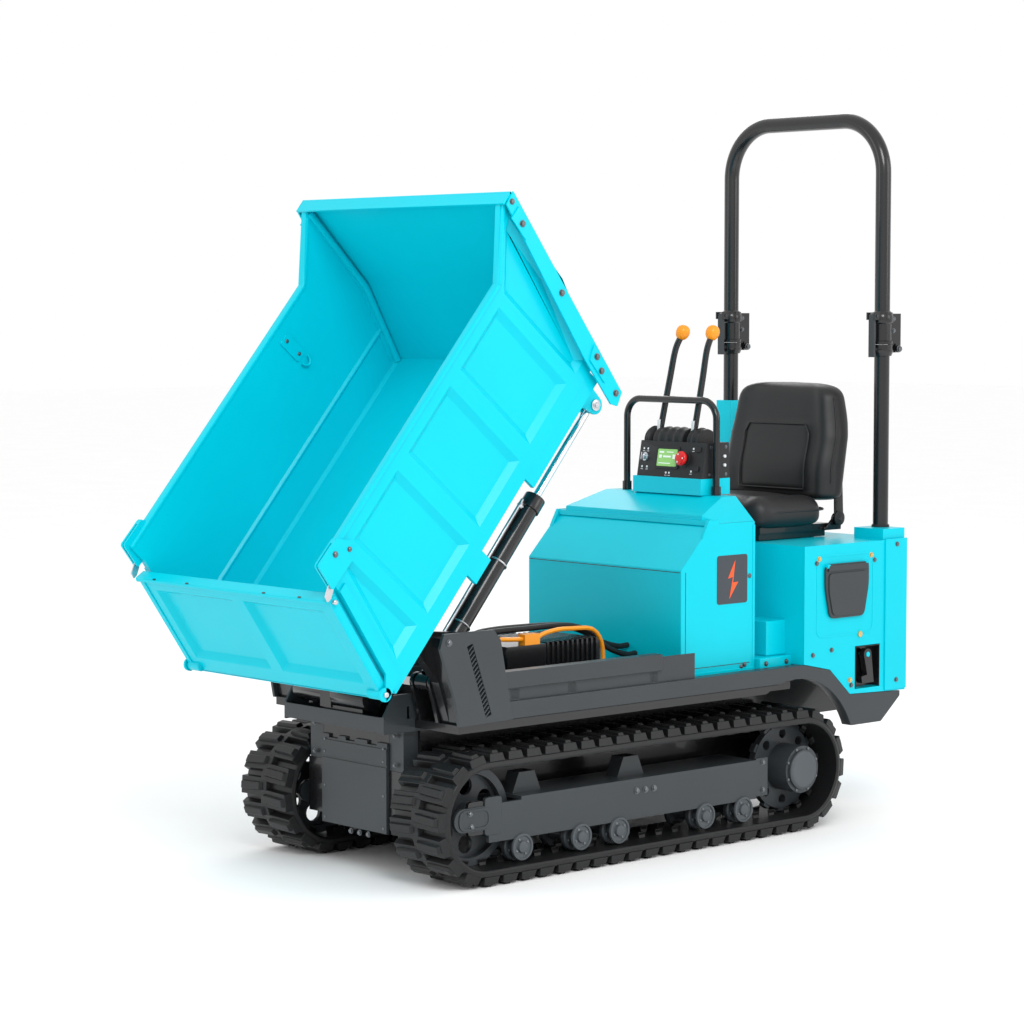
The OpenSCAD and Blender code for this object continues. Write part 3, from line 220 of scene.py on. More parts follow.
def add_loops(bm, loops, closed=True, caps=True):
    """Skins a list of equally long rings of points."""
    rings = [[bm.verts.new(p) for p in loop] for loop in loops]
    count = len(rings[0])
    last = count if closed else count - 1
    for a, b in zip(rings, rings[1:]):
        for k in range(last):
            bm.faces.new((a[k], a[(k + 1) % count], b[(k + 1) % count], b[k]))
    if caps:
        bm.faces.new(rings[0][::-1])
        bm.faces.new(rings[-1])
    return rings


def add_prism(bm, outline, place, low, high):
    """A flat outline (u, v) between two depths w; place turns (u, v, w) into a point."""
    add_loops(bm, [[place(u, v, w) for u, v in outline] for w in (low, high)])


def add_box(bm, x0, x1, y0, y1, z0, z1):
    add_prism(bm, rect(x0, x1, y0, y1), lambda u, v, w: (u, v, w), z0, z1)


def along_x(u, v, w):
    """Outlines drawn in Y and Z, with depth along X."""
    return (w, u, v)


def rect(u0, u1, v0, v1):
    """A rectangle's four corners."""
    return [(u0, v0), (u1, v0), (u1, v1), (u0, v1)]


def oval(angle, power_u, power_v):
    """A point of a squared-off circle; the higher a power, the squarer it is along that way."""
    c, s = cos(angle), sin(angle)
    return copysign(abs(c) ** (2 / power_u), c), copysign(abs(s) ** (2 / power_v), s)


def mirrored(sign):
    """Outlines drawn in Y and Z, with depth outwards on one side of the machine."""
    return lambda u, v, w: (sign * w, u, v)


def circle(radius, count=32, cu=0.0, cv=0.0, start=0.0):
    return [(cu + radius * cos(start + tau * k / count), cv + radius * sin(start + tau * k / count)) for k in
            range(count)]


def rounded(points, radius, steps=4):
    """The outline with each corner turned into an arc."""
    out = []
    count = len(points)
    for i in range(count):
        here = Vector(points[i])
        back = (Vector(points[i - 1]) - here)
        ahead = (Vector(points[(i + 1) % count]) - here)
        reach = min(radius, back.length * 0.45, ahead.length * 0.45)
        a = here + back.normalized() * reach
        b = here + ahead.normalized() * reach
        for k in range(steps + 1):
            t = k / steps
            out.append(tuple(a * (1 - t) ** 2 + here * 2 * t * (1 - t) + b * t * t))
    return out


def inset(points, distance):
    """A convex outline moved inwards by a distance."""
    count = len(points)
    centre = sum((Vector(p) for p in points), Vector((0, 0))) / count
    lines = []
    for i in range(count):
        a, b = Vector(points[i]), Vector(points[(i + 1) % count])
        along = (b - a).normalized()
        inward = Vector((-along.y, along.x))
        if inward.dot(centre - a) < 0:
            inward = -inward
        lines.append((a + inward * distance, along))
    out = []
    for i in range(count):
        (p, d), (q, e) = lines[i - 1], lines[i]
        cross = d.x * e.y - d.y * e.x
        t = ((q - p).x * e.y - (q - p).y * e.x) / cross
        out.append(tuple(p + d * t))
    return out


def add_pressed(bm, place, outline, pockets, thick, depth, slope):
    """A plate whose face at depth 0 has pressed pockets with sloping sides. Its back is at -thick."""
    face = [outline] + pockets
    flat = [Vector((u, v, 0)) for loop in face for u, v in loop]
    verts = [bm.verts.new(place(p.x, p.y, 0)) for p in flat]
    loops = [[Vector((u, v, 0)) for u, v in loop] for loop in face]
    for tri in tessellate_polygon(loops):
        bm.faces.new([verts[i] for i in tri])
    start = len(outline)
    for pocket in pockets:
        ring = verts[start:start + len(pocket)]
        start += len(pocket)
        floor = [bm.verts.new(place(u, v, -depth)) for u, v in inset(pocket, slope)]
        for k in range(len(ring)):
            n = (k + 1) % len(ring)
            bm.faces.new((ring[k], ring[n], floor[n], floor[k]))
        bm.faces.new(floor)
    back = [bm.verts.new(place(u, v, -thick)) for u, v in outline]
    for k in range(len(outline)):
        n = (k + 1) % len(outline)
        bm.faces.new((verts[k], verts[n], back[n], back[k]))
    bm.faces.new(back)


def smooth_path(points, per=6):
    """Catmull-Rom points through a given route."""
    route = [Vector(p) for p in points]
    out = []
    for i in range(len(route) - 1):
        a, b, c, d = route[max(i - 1, 0)], route[i], route[i + 1], route[min(i + 2, len(route) - 1)]
        for k in range(per):
            t = k / per
            out.append(0.5 * (2 * b + (c - a) * t + (2 * a - 5 * b + 4 * c - d) * t * t +
                    (3 * b - a - 3 * c + d) * t ** 3))
    out.append(route[-1])
    return out


def add_tube(bm, path, radius, sides=16, caps=True):
    """A round tube along a list of points; radius is a number or a function of the share of the way."""
    path = [Vector(p) for p in path]
    rings = []
    normal = None
    for i, p in enumerate(path):
        t = (path[min(i + 1, len(path) - 1)] - path[max(i - 1, 0)]).normalized()
        if normal is None:
            normal = t.orthogonal().normalized()
        normal = (normal - t * normal.dot(t)).normalized()
        side = t.cross(normal)
        r = radius(i / (len(path) - 1)) if callable(radius) else radius
        rings.append([p + (normal * cos(tau * k / sides) + side * sin(tau * k / sides)) * r for k in
                range(sides)])
    add_loops(bm, rings, caps=caps)


def add_lathe(bm, base, axis, profile, sides=24):
    """A turned shape: profile is (distance along the axis, radius) pairs."""
    base, axis = Vector(base), Vector(axis).normalized()
    across = axis.orthogonal().normalized()
    side = axis.cross(across)
    rings = []
    for along, radius in profile:
        rings.append([base + axis * along + (across * cos(tau * k / sides) + side * sin(tau * k / sides)) *
                max(radius, 1e-5) for k in range(sides)])
    add_loops(bm, rings)


def add_bolt(bm, place, axis, radius):
    """Washer, hexagon head and a shallow dome on it."""
    r = radius
    add_lathe(bm, place, axis, [(0, r * 1.35), (r * 0.22, r * 1.35), (r * 0.26, r * 1.2)], 20)
    add_lathe(bm, place, axis, [(r * 0.2, r * 1.05), (r * 0.85, r * 1.05), (r * 1.0, r * 0.85)], 6)
    add_lathe(bm, place, axis, [(r * 0.5, r * 0.6), (r * 1.0, r * 0.55), (r * 1.12, r * 0.35)], 12)


def add_cap_screw(bm, place, axis, radius):
    """Round domed head, as on the sheet covers."""
    r = radius
    add_lathe(bm, place, axis, [(0, r * 1.3), (r * 0.15, r * 1.3), (r * 0.2, r), (r * 0.5, r * 0.85),
            (r * 0.62, r * 0.5)], 18)


def joint_place(name):
    """Where a joint's axis passes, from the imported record."""
    return Vector(next(j for j in frame["joints"] if j["name"] == name)["pos_m"])


# ---------------------------------------------------------------- rubber tracks

WHEEL_Z = joint_place("sprocket_left_spin").z
IDLER_Y = joint_place("idler_left_spin").y
SPROCKET_Y = joint_place("sprocket_left_spin").y
TRACK_X = joint_place("sprocket_left_spin").x
TRACK_HALF = (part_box("rubber_track_left")[1].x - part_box("rubber_track_left")[0].x) / 2
BELT_R = 0.145
BELT_T = 0.022
LUG_TOP = WHEEL_Z - BELT_R
LUGS = 52


def track_point(s, out):
    """Point (y, z) at distance s along the belt's outer face, moved out by a distance."""
    r = BELT_R + BELT_T
    straight = SPROCKET_Y - IDLER_Y
    bend = pi * r
    s = s % (2 * straight + 2 * bend)
    if s < straight:
        return IDLER_Y + s, WHEEL_Z + r + out
    if s < straight + bend:
        a = (s - straight) / r
        return SPROCKET_Y + (r + out) * sin(a), WHEEL_Z + (r + out) * cos(a)
    if s < 2 * straight + bend:
        return SPROCKET_Y - (s - straight - bend), WHEEL_Z - r - out
    a = (s - 2 * straight - bend) / r
    return IDLER_Y - (r + out) * sin(a), WHEEL_Z - (r + out) * cos(a)


def make_track(side, sign):
    """One rubber belt: carcass, staggered pads and guide teeth."""
    r = BELT_R + BELT_T
    length = 2 * (SPROCKET_Y - IDLER_Y) + 2 * pi * r
    pitch = length / LUGS
    half = TRACK_HALF
    bm = bmesh.new()
    # Carcass: a closed sweep of a rounded strip, with a shallow step along each edge
    strip = [(-half, -0.016), (-half + 0.004, -0.004), (-half + 0.012, 0.0), (half - 0.012, 0.0),
            (half - 0.004, -0.004), (half, -0.016), (half - 0.004, -BELT_T), (-half + 0.004, -BELT_T)]
    count = LUGS * 4
    rings = []
    for i in range(count):
        s = i * length / count
        ring = []
        for x, out in strip:
            y, z = track_point(s, out)
            ring.append(bm.verts.new((sign * (TRACK_X + x), y, z)))
        rings.append(ring)
    for i in range(count):
        a, b = rings[i], rings[(i + 1) % count]
        for k in range(len(strip)):
            n = (k + 1) % len(strip)
            bm.faces.new((a[k], a[n], b[n], b[k]))

    def lug(s, x0, x1, foot, top, low, high, skew=0.0):
        """One block on the belt, tapered from its foot to its top."""
        corners = []
        for out, reach, shrink in ((low, foot, 0.0), (high, top, 0.006)):
            for x, d in ((x0 + shrink, -reach), (x1 - shrink, -reach + skew), (x1 - shrink, reach + skew),
                    (x0 + shrink, reach)):
                y, z = track_point(s + d, out)
                corners.append((sign * (TRACK_X + x), y, z))
        add_loops(bm, [corners[:4], corners[4:]])

    high = LUG_TOP - BELT_T
    for i in range(LUGS):
        s = i * pitch
        # Two staggered pads, each a wide block with a raised bar across its middle
        lug(s, -half + 0.003, 0.02, 0.029, 0.024, -0.003, high * 0.72, 0.004)
        lug(s, -half + 0.012, -0.004, 0.013, 0.009, high * 0.6, high, 0.004)
        lug(s + pitch / 2, -0.02, half - 0.003, 0.029, 0.024, -0.003, high * 0.72, -0.004)
        lug(s + pitch / 2, 0.004, half - 0.012, 0.013, 0.009, high * 0.6, high, -0.004)
        # Guide teeth inside the belt
        for x in (-0.035, 0.029):
            lug(s, x, x + 0.006, 0.016, 0.012, -BELT_T - 0.018, -BELT_T + 0.002)
    track = finish_mesh(f"track_belt_{side}", bm, RUBBER, "chassis", bevel=0.0022, smooth=40)
    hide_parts(f"rubber_track_{side}")


# ---------------------------------------------------------------- tray

TIP = joint_place("tray_tip")
TIP_TURN = Matrix.Translation(TIP) @ Matrix.Rotation(radians(50), 4, "X") @ Matrix.Translation(-TIP)
TRAY_X = 0.45
TRAY_IN = 0.43
FLOOR_Z = TIP.z + 0.027
RIM_Z = FLOOR_Z + 0.435
HEAD_Z = RIM_Z + 0.138
TRAY_FRONT = TIP.y - 0.22
TRAY_REAR = TRAY_FRONT + 1.19
GATE_LEAN = tan(radians(16))
BEND_Y = TRAY_REAR - 0.068
BRACKET_Y = -0.09


def level(place):
    """Places a point designed on the level tray in its tipped rest pose."""
    return lambda u, v, w: TIP_TURN @ Vector(place(u, v, w))


def make_tray():
    """The tipping tub in its rest pose, built level and then turned."""
    bm = bmesh.new()
    front = TRAY_FRONT + 0.024
    wall = [(front, FLOOR_Z), (front + 0.367 * GATE_LEAN, RIM_Z - 0.068), (TRAY_FRONT + 0.135, RIM_Z),
            (BEND_Y, RIM_Z), (TRAY_REAR + 0.112, HEAD_Z), (TRAY_REAR + 0.139, HEAD_Z),
            (TRAY_REAR + 0.105, FLOOR_Z + 0.255), (TRAY_REAR + 0.008, FLOOR_Z)]
    low, high = FLOOR_Z + 0.05, RIM_Z - 0.046
    pockets = [rect(a, b, low, high) for a, b in ((-0.78, -0.54), (-0.482, -0.245), (-0.187, 0.036))]
    pockets.append([(TRAY_FRONT + 0.098, low + 0.01), (TRAY_FRONT + 0.213, low + 0.01),
            (TRAY_FRONT + 0.213, high - 0.012), (TRAY_FRONT + 0.19, high - 0.012)])
    pockets.append([(TRAY_REAR - 0.072, FLOOR_Z + 0.042), (TRAY_REAR - 0.022, FLOOR_Z + 0.042),
            (TRAY_REAR + 0.078, FLOOR_Z + 0.3), (TRAY_REAR + 0.1, HEAD_Z - 0.052),
            (TRAY_REAR + 0.07, HEAD_Z - 0.062), (TRAY_REAR - 0.072, RIM_Z - 0.036)])
    for sign in (1, -1):
        add_pressed(bm, level(lambda u, v, w: (sign * (TRAY_X + w), u, v)), wall, pockets, TRAY_X - TRAY_IN,
                0.0165, 0.02)
        # Rolled rim along the wall's top
        rim = rounded(rect(TRAY_IN - 0.002, TRAY_X + 0.008, -0.012, 0.0), 0.004, 2)
        line = [(TRAY_FRONT + 0.135, RIM_Z), (BEND_Y, RIM_Z), (TRAY_REAR + 0.12, HEAD_Z)]
        for (y0, z0), (y1, z1) in zip(line, line[1:]):
            along = Vector((0, y1 - y0, z1 - z0)).normalized()
            up = Vector((0, -along.z, along.y))
            rings = []
            for y, z in ((y0, z0), (y1, z1)):
                rings.append([TIP_TURN @ (Vector((sign * x, y, z)) + up * (h + 0.001)) for x, h in rim])
            add_loops(bm, rings)
    # Floor
    place = level(lambda u, v, w: (u, v, w))
    add_prism(bm, rect(-TRAY_IN, TRAY_IN, TRAY_FRONT, TRAY_REAR + 0.008), place, FLOOR_Z, FLOOR_Z + 0.004)
    # Headboard with its fold and top lip
    board = [(TRAY_REAR, FLOOR_Z + 0.004), (TRAY_REAR + 0.008, FLOOR_Z + 0.004),
            (TRAY_REAR + 0.104, FLOOR_Z + 0.255), (TRAY_REAR + 0.136, HEAD_Z - 0.008),
            (TRAY_REAR + 0.146, HEAD_Z), (TRAY_REAR + 0.112, HEAD_Z), (TRAY_REAR + 0.112, HEAD_Z - 0.006),
            (TRAY_REAR + 0.13, HEAD_Z - 0.006), (TRAY_REAR + 0.098, FLOOR_Z + 0.257)]
    add_prism(bm, board, level(along_x), -TRAY_X, TRAY_X)
    lip = [(TRAY_REAR + 0.106, HEAD_Z - 0.002), (TRAY_REAR + 0.148, HEAD_Z - 0.002),
            (TRAY_REAR + 0.15, HEAD_Z + 0.004), (TRAY_REAR + 0.106, HEAD_Z + 0.004)]
    add_prism(bm, lip, level(along_x), -TRAY_X - 0.02, TRAY_X + 0.02)
    add_prism(bm, [(TRAY_REAR + 0.14, HEAD_Z - 0.034), (TRAY_REAR + 0.148, HEAD_Z - 0.034),
            (TRAY_REAR + 0.15, HEAD_Z + 0.004), (TRAY_REAR + 0.144, HEAD_Z + 0.004)], level(along_x),
            -TRAY_X - 0.02, TRAY_X + 0.02)
    # Inside: long ridge on each wall, corner strips, and weld fillets at the floor
    for sign in (1, -1):
        ridge = [(TRAY_IN, -0.01), (TRAY_IN - 0.005, -0.002), (TRAY_IN - 0.005, 0.002), (TRAY_IN, 0.01)]
        rings = [[TIP_TURN @ Vector((sign * x, y, FLOOR_Z + 0.118 + h)) for x, h in ridge] for y in
                (TRAY_FRONT + 0.075, TRAY_REAR + 0.035)]
        add_loops(bm, rings)
        corner = [(TRAY_REAR - 0.004, FLOOR_Z + 0.03), (TRAY_REAR + 0.09, FLOOR_Z + 0.256),
                (TRAY_REAR + 0.122, HEAD_Z - 0.012), (TRAY_REAR + 0.102, HEAD_Z - 0.012),
                (TRAY_REAR + 0.068, FLOOR_Z + 0.262), (TRAY_REAR - 0.03, FLOOR_Z + 0.03)]
        add_prism(bm, corner, level(mirrored(sign)), TRAY_IN - 0.0025, TRAY_IN + 0.001)
        bead = [(TRAY_REAR - 0.01, FLOOR_Z + 0.006), (TRAY_REAR + 0.083, FLOOR_Z + 0.25),
                (TRAY_REAR + 0.112, HEAD_Z - 0.014)]
        path = [TIP_TURN @ Vector((sign * (TRAY_IN - 0.003), y, z)) for y, z in bead]
        add_tube(bm, path, 0.011, 12)
        fillet = [(TRAY_IN + 0.001, 0.003), (TRAY_IN + 0.001, 0.016), (TRAY_IN - 0.003, 0.008),
                (TRAY_IN - 0.012, 0.003)]
        rings = [[TIP_TURN @ Vector((sign * x, y, FLOOR_Z + h)) for x, h in fillet] for y in
                (TRAY_FRONT + 0.03, TRAY_REAR)]
        add_loops(bm, rings)
    # Corner posts, slotted for the latches, and gussets at the tailgate's pins
    gate = joint_place("tailgate_open")
    gate_level = TIP_TURN.inverted() @ gate
    post = [(TRAY_FRONT + 0.107, RIM_Z - 0.066), (TRAY_FRONT + 0.127, RIM_Z + 0.016),
            (TRAY_FRONT + 0.222, RIM_Z + 0.014), (TRAY_FRONT + 0.25, RIM_Z - 0.034),
            (TRAY_FRONT + 0.212, RIM_Z - 0.068)]
    spine = [(TRAY_FRONT + 0.205, RIM_Z - 0.068), (TRAY_FRONT + 0.205, RIM_Z + 0.0143),
            (TRAY_FRONT + 0.222, RIM_Z + 0.014), (TRAY_FRONT + 0.25, RIM_Z - 0.034),
            (TRAY_FRONT + 0.212, RIM_Z - 0.068)]
    for sign in (1, -1):
        place = level(mirrored(sign))
        add_prism(bm, rounded(post, 0.008), place, TRAY_X - 0.006, TRAY_X)
        add_prism(bm, rounded(post, 0.008), place, TRAY_X + 0.007, TRAY_X + 0.014)
        add_prism(bm, spine, place, TRAY_X - 0.002, TRAY_X + 0.01)
        gusset = [(gate_level.y - 0.014, gate_level.z - 0.014), (TRAY_FRONT + 0.064, FLOOR_Z + 0.016),
                (TRAY_FRONT + 0.15, RIM_Z - 0.092), (TRAY_FRONT + 0.122, RIM_Z - 0.092),
                (TRAY_FRONT + 0.042, FLOOR_Z + 0.07)]
        add_prism(bm, gusset, place, TRAY_X, TRAY_X + 0.008)
        add_prism(bm, circle(0.02, 28, gate_level.y, gate_level.z), place, TRAY_X, TRAY_X + 0.008)
    tray = finish_mesh("tray_shell", bm, CYAN, "tray", bevel=0.0025, smooth=30)
    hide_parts("tray_tub")
    # Bolts and brackets on the inner walls
    bm = bmesh.new()
    for sign in (1, -1):
        place = level(mirrored(sign))
        for y, z in ((BRACKET_Y, RIM_Z - 0.055), (BRACKET_Y, RIM_Z - 0.115)):
            start = place(y, z, TRAY_IN - 0.002)
            add_bolt(bm, start, TIP_TURN.to_3x3() @ Vector((-sign, 0, 0)), 0.006)
    finish_mesh("tray_inner_bolts", bm, BOLT, "tray", smooth=30)
    bm = bmesh.new()
    for sign in (1, -1):
        place = level(mirrored(sign))
        plate = rounded(rect(BRACKET_Y - 0.022, BRACKET_Y + 0.022, RIM_Z - 0.13, RIM_Z - 0.04), 0.01)
        add_prism(bm, plate, place, TRAY_IN - 0.005, TRAY_IN)
        loop = [place(BRACKET_Y + 0.016 * cos(a), RIM_Z - 0.14 + 0.022 * sin(a), TRAY_IN - 0.01) for a in
                [pi * k / 8 + pi for k in range(9)]]
        add_tube(bm, loop, 0.004, 10)
    finish_mesh("tray_wall_brackets", bm, CYAN, "tray", bevel=0.001, smooth=35)


def make_tailgate():
    """Tailgate panel with two pressed recesses, its ledge, pins and slots."""
    gate = TIP_TURN.inverted() @ joint_place("tailgate_open")
    turn = TIP_TURN @ Matrix.Translation((0, gate.y, gate.z)) @ Matrix.Rotation(radians(-16), 4, "X")
    half = TRAY_X - 0.004
    high = 0.332
    bm = bmesh.new()
    outline = rect(-half, half, -0.014, high)
    pockets = [rect(-half + 0.055, -0.026, 0.034, high - 0.046), rect(0.026, half - 0.055, 0.034,
            high - 0.046)]
    add_pressed(bm, lambda u, v, w: turn @ Vector((u, -0.002 - w, v)), outline, pockets, 0.024, 0.016, 0.02)
    # Top ledge with a rolled front edge and drain slots
    ledge = [(-0.016, high - 0.01), (-0.014, high - 0.001), (-0.01, high + 0.002), (0.022, high + 0.002),
            (0.022, high - 0.006), (-0.008, high - 0.006)]
    add_prism(bm, ledge, lambda u, v, w: turn @ Vector((w, u, v)), -half, half)
    # Raised edge strips
    for x0, x1 in ((-half, -half + 0.02), (half - 0.02, half)):
        add_prism(bm, rect(x0, x1, -0.014, high), lambda u, v, w: turn @ Vector((u, w, v)), -0.006, 0.0)
    for sign in (1, -1):
        add_lathe(bm, turn @ Vector((sign * (TRAY_X - 0.06), 0, 0)), (sign, 0, 0),
                [(0, 0.012), (0.002, 0.016), (0.052, 0.016), (0.056, 0.014)])
    shell = finish_mesh("tailgate_panel", bm, CYAN, "tailgate", bevel=0.0025, smooth=30)
    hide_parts("tailgate")
    bm = bmesh.new()
    for sign in (1, -1):
        add_lathe(bm, turn @ Vector((sign * (TRAY_X - 0.006), 0, 0)), (sign, 0, 0),
                [(0, 0.008), (0.018, 0.008), (0.02, 0.006)])
        add_lathe(bm, turn @ Vector((sign * (TRAY_X - 0.006), 0.006, high - 0.016)), (sign, 0, 0),
                [(0, 0.007), (0.014, 0.007), (0.016, 0.005)])
    finish_mesh("tailgate_pins", bm, ZINC, "tailgate", smooth=35)
    bm = bmesh.new()
    for x in (-0.36, -0.2, 0.16, 0.32):
        add_prism(bm, rounded(rect(x, x + 0.014, -0.012, -0.007), 0.002, 2), lambda u, v,
                w: turn @ Vector((u, v, w)), high + 0.0015, high + 0.0027)
    finish_mesh("tailgate_slots", bm, BLACK, "tailgate")


# ---------------------------------------------------------------- seat

PAD_SQUARE = 5.5        # how square the cushion's outline is, from above
BACK_SQUARE_U = 4.0     # how square the back's section is across, and front to rear
BACK_SQUARE_V = 2.6
SEAM_LIFT = 0.001       # how far the back's seam stands off its skin


def add_pad(bm, x_half, y0, y1, z0, z1, crown, power=3.2, wave=None, steps=28):
    """A rounded box whose top swells by crown; wave(u, v) adds to the top, with u and v -1..1."""
    rings = []
    rows = 18
    for i in range(rows + 1):
        a = -pi / 2 + pi * i / rows
        level_share = sin(a)
        reach = max(0.0, cos(a)) ** (2 / power)
        ring = []
        for k in range(steps * 2):
            u, v = oval(tau * k / (steps * 2), PAD_SQUARE, PAD_SQUARE)
            u, v = u * reach, v * reach
            up = copysign(abs(level_share) ** (2 / power), level_share)
            z = (z0 + z1) / 2 + (z1 - z0) / 2 * up
            if up > 0:
                z += up * (crown * (1 - u * u) * (1 - v * v) + (wave(u, v) if wave else 0))
            ring.append((x_half * u, (y0 + y1) / 2 + (y1 - y0) / 2 * v, z))
        rings.append(ring)
    add_loops(bm, rings)


def make_cushion():
    """Seat cushion with side bolsters, and its piping."""
    low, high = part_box("seat_cushion")
    half = high.x + 0.004
    bm = bmesh.new()

    def shape(u, v):
        """Side bolsters, and a waterfall front edge."""
        bolster = 0.02 * exp(-((abs(u) - 0.82) / 0.15) ** 2)
        groove = -0.008 * exp(-((abs(u) - 0.62) / 0.03) ** 2) if abs(v) < 0.86 else 0
        front = 0.01 * exp(-((v + 0.7) / 0.25) ** 2)
        return bolster + groove + front

    add_pad(bm, half, low.y - 0.004, high.y - 0.024, low.z - 0.018, high.z + 0.004, 0.016, wave=shape)
    pad = finish_mesh("seat_cushion_pad", bm, VINYL, "seat_frame", smooth=60)
    pad.modifiers.new("round", "SUBSURF").render_levels = 1
    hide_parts("seat_cushion")
    # Piping round the top and the two sewn channels
    bm = bmesh.new()
    mid = (low.y + high.y) / 2
    reach = (high.y - low.y) / 2
    ring = []
    for k in range(72):
        u, v = oval(tau * k / 72, PAD_SQUARE, PAD_SQUARE)
        ring.append((half * u * 0.985, mid + (reach - 0.002) * v * 0.985,
                high.z - 0.036 + 0.006 * (1 - abs(u))))
    add_tube(bm, ring + ring[:1], 0.0035, 10, caps=False)
    finish_mesh("seat_cushion_piping", bm, VINYL, "seat_frame", smooth=60)


def make_backrest():
    """Seat back with its seams, arms and recliner caps."""
    low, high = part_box("seat_backrest")
    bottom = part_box("seat_cushion")[1].z - 0.014
    top = high.z
    tall = top - bottom
    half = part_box("seat_cushion")[1].x + 0.008

    def section(t):
        """Half width, middle, half depth and swell of the back at height t, 0 (foot) to 1 (top)."""
        cap = 1.0 if t < 0.86 else max(0.0, 1 - ((t - 0.86) / 0.14) ** 2.6) ** 0.5
        foot = 1.0 if t > 0.07 else max(0.0, 1 - ((0.07 - t) / 0.07) ** 2.4) ** 0.5
        narrow = 1.0 - 0.14 * max(0.0, t - 0.55) / 0.45
        wide = half * narrow * (0.62 + 0.38 * cap) * (0.82 + 0.18 * foot)
        front = low.y - 0.004 + 0.05 * t
        rear = low.y + 0.104 + 0.046 * min(1.0, t * 1.5) - 0.01 * max(0.0, t - 0.75) * 4
        thick = (rear - front) / 2 * (0.12 + 0.88 * cap) * (0.35 + 0.65 * foot)
        return wide, (front + rear) / 2, thick, cap * foot

    def skin(u, v, t):
        """A point of the pad: u across and v along its section, both -1..1."""
        wide, centre, thick, swell = section(t)
        push = 0.0
        if v < 0:
            push += 0.016 * exp(-((abs(u) - 0.84) / 0.13) ** 2)
            push += 0.008 * (1 if abs(u) < 0.6 and 0.1 < t < 0.66 else 0)
            push += 0.01 * exp(-((t - 0.3) / 0.16) ** 2)
        return wide * u, centre + thick * v - push * swell, bottom + tall * t

    bm = bmesh.new()
    rows = 34
    steps = 60
    rings = []
    for i in range(rows + 1):
        ring = []
        for k in range(steps):
            u, v = oval(tau * k / steps, BACK_SQUARE_U, BACK_SQUARE_V)
            ring.append(skin(u, v, i / rows))
        rings.append(ring)
    add_loops(bm, rings)
    pad = finish_mesh("seat_back_pad", bm, VINYL, "backrest", smooth=60)
    pad.modifiers.new("round", "SUBSURF").render_levels = 1
    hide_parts("seat_backrest")
    # Sewn seams: round the inner panel, and round the pad's own edge
    arch = [(-0.6, 0.1), (-0.6, 0.58), (-0.54, 0.66), (0.54, 0.66), (0.6, 0.58), (0.6, 0.1), (-0.6, 0.1)]
    path = []
    for (u0, t0), (u1, t1) in zip(arch, arch[1:]):
        for k in range(10):
            u = u0 + (u1 - u0) * k / 10
            t = t0 + (t1 - t0) * k / 10
            x, y, z = skin(u * 0.99, -((1 - abs(u) ** BACK_SQUARE_U) ** (1 / BACK_SQUARE_V)),
                    t * 0.98 + 0.004)
            path.append((x, y - SEAM_LIFT, z))
    bm = bmesh.new()
    add_tube(bm, path + path[:1], 0.0032, 8, caps=False)
    edge = []
    for sign, heights in ((1, range(5, 28)), (-1, range(27, 4, -1))):
        for k in heights:
            edge.append(skin(sign * 0.97, -0.42, k / 31))
    add_tube(bm, edge, 0.0032, 8)
    finish_mesh("seat_back_seams", bm, VINYL, "backrest", smooth=60)
    # Arms down to the pivot
    pivot = joint_place("backrest_recline")
    bm = bmesh.new()
    for sign in (1, -1):
        place = mirrored(sign)
        arm = circle(0.02, 20, pivot.y, pivot.z)
        add_prism(bm, arm, place, 0.218, 0.226)
        add_prism(bm, [(pivot.y - 0.02, pivot.z), (pivot.y + 0.02, pivot.z),
                (pivot.y + 0.012, bottom + 0.12), (pivot.y - 0.024, bottom + 0.12)], place, 0.2185, 0.2255)
        add_lathe(bm, (sign * 0.206, pivot.y, pivot.z), (sign, 0, 0), [(0, 0.008), (0.024, 0.008),
                (0.026, 0.006)])
    finish_mesh("seat_back_arms", bm, BLACK, "backrest", bevel=0.0012)
    # Round recliner covers low on each side
    bm = bmesh.new()
    for sign in (1, -1):
        add_lathe(bm, (sign * 0.226, pivot.y - 0.002, pivot.z + 0.004), (sign, 0, 0),
                [(0, 0.024), (0.003, 0.024), (0.005, 0.02)], 28)
    finish_mesh("seat_recliner_caps", bm, PLASTIC, "backrest", smooth=40)
    return bottom, tall


# ---------------------------------------------------------------- console and levers

def face_frame():
    """Origin and directions of the console's sloping face."""
    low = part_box("console_housing")[0]
    up = Vector((0, 0.02, 0.112)).normalized()
    out = Vector((0, -up.z, up.y))
    return Vector((0, low.y, low.z)), up, out


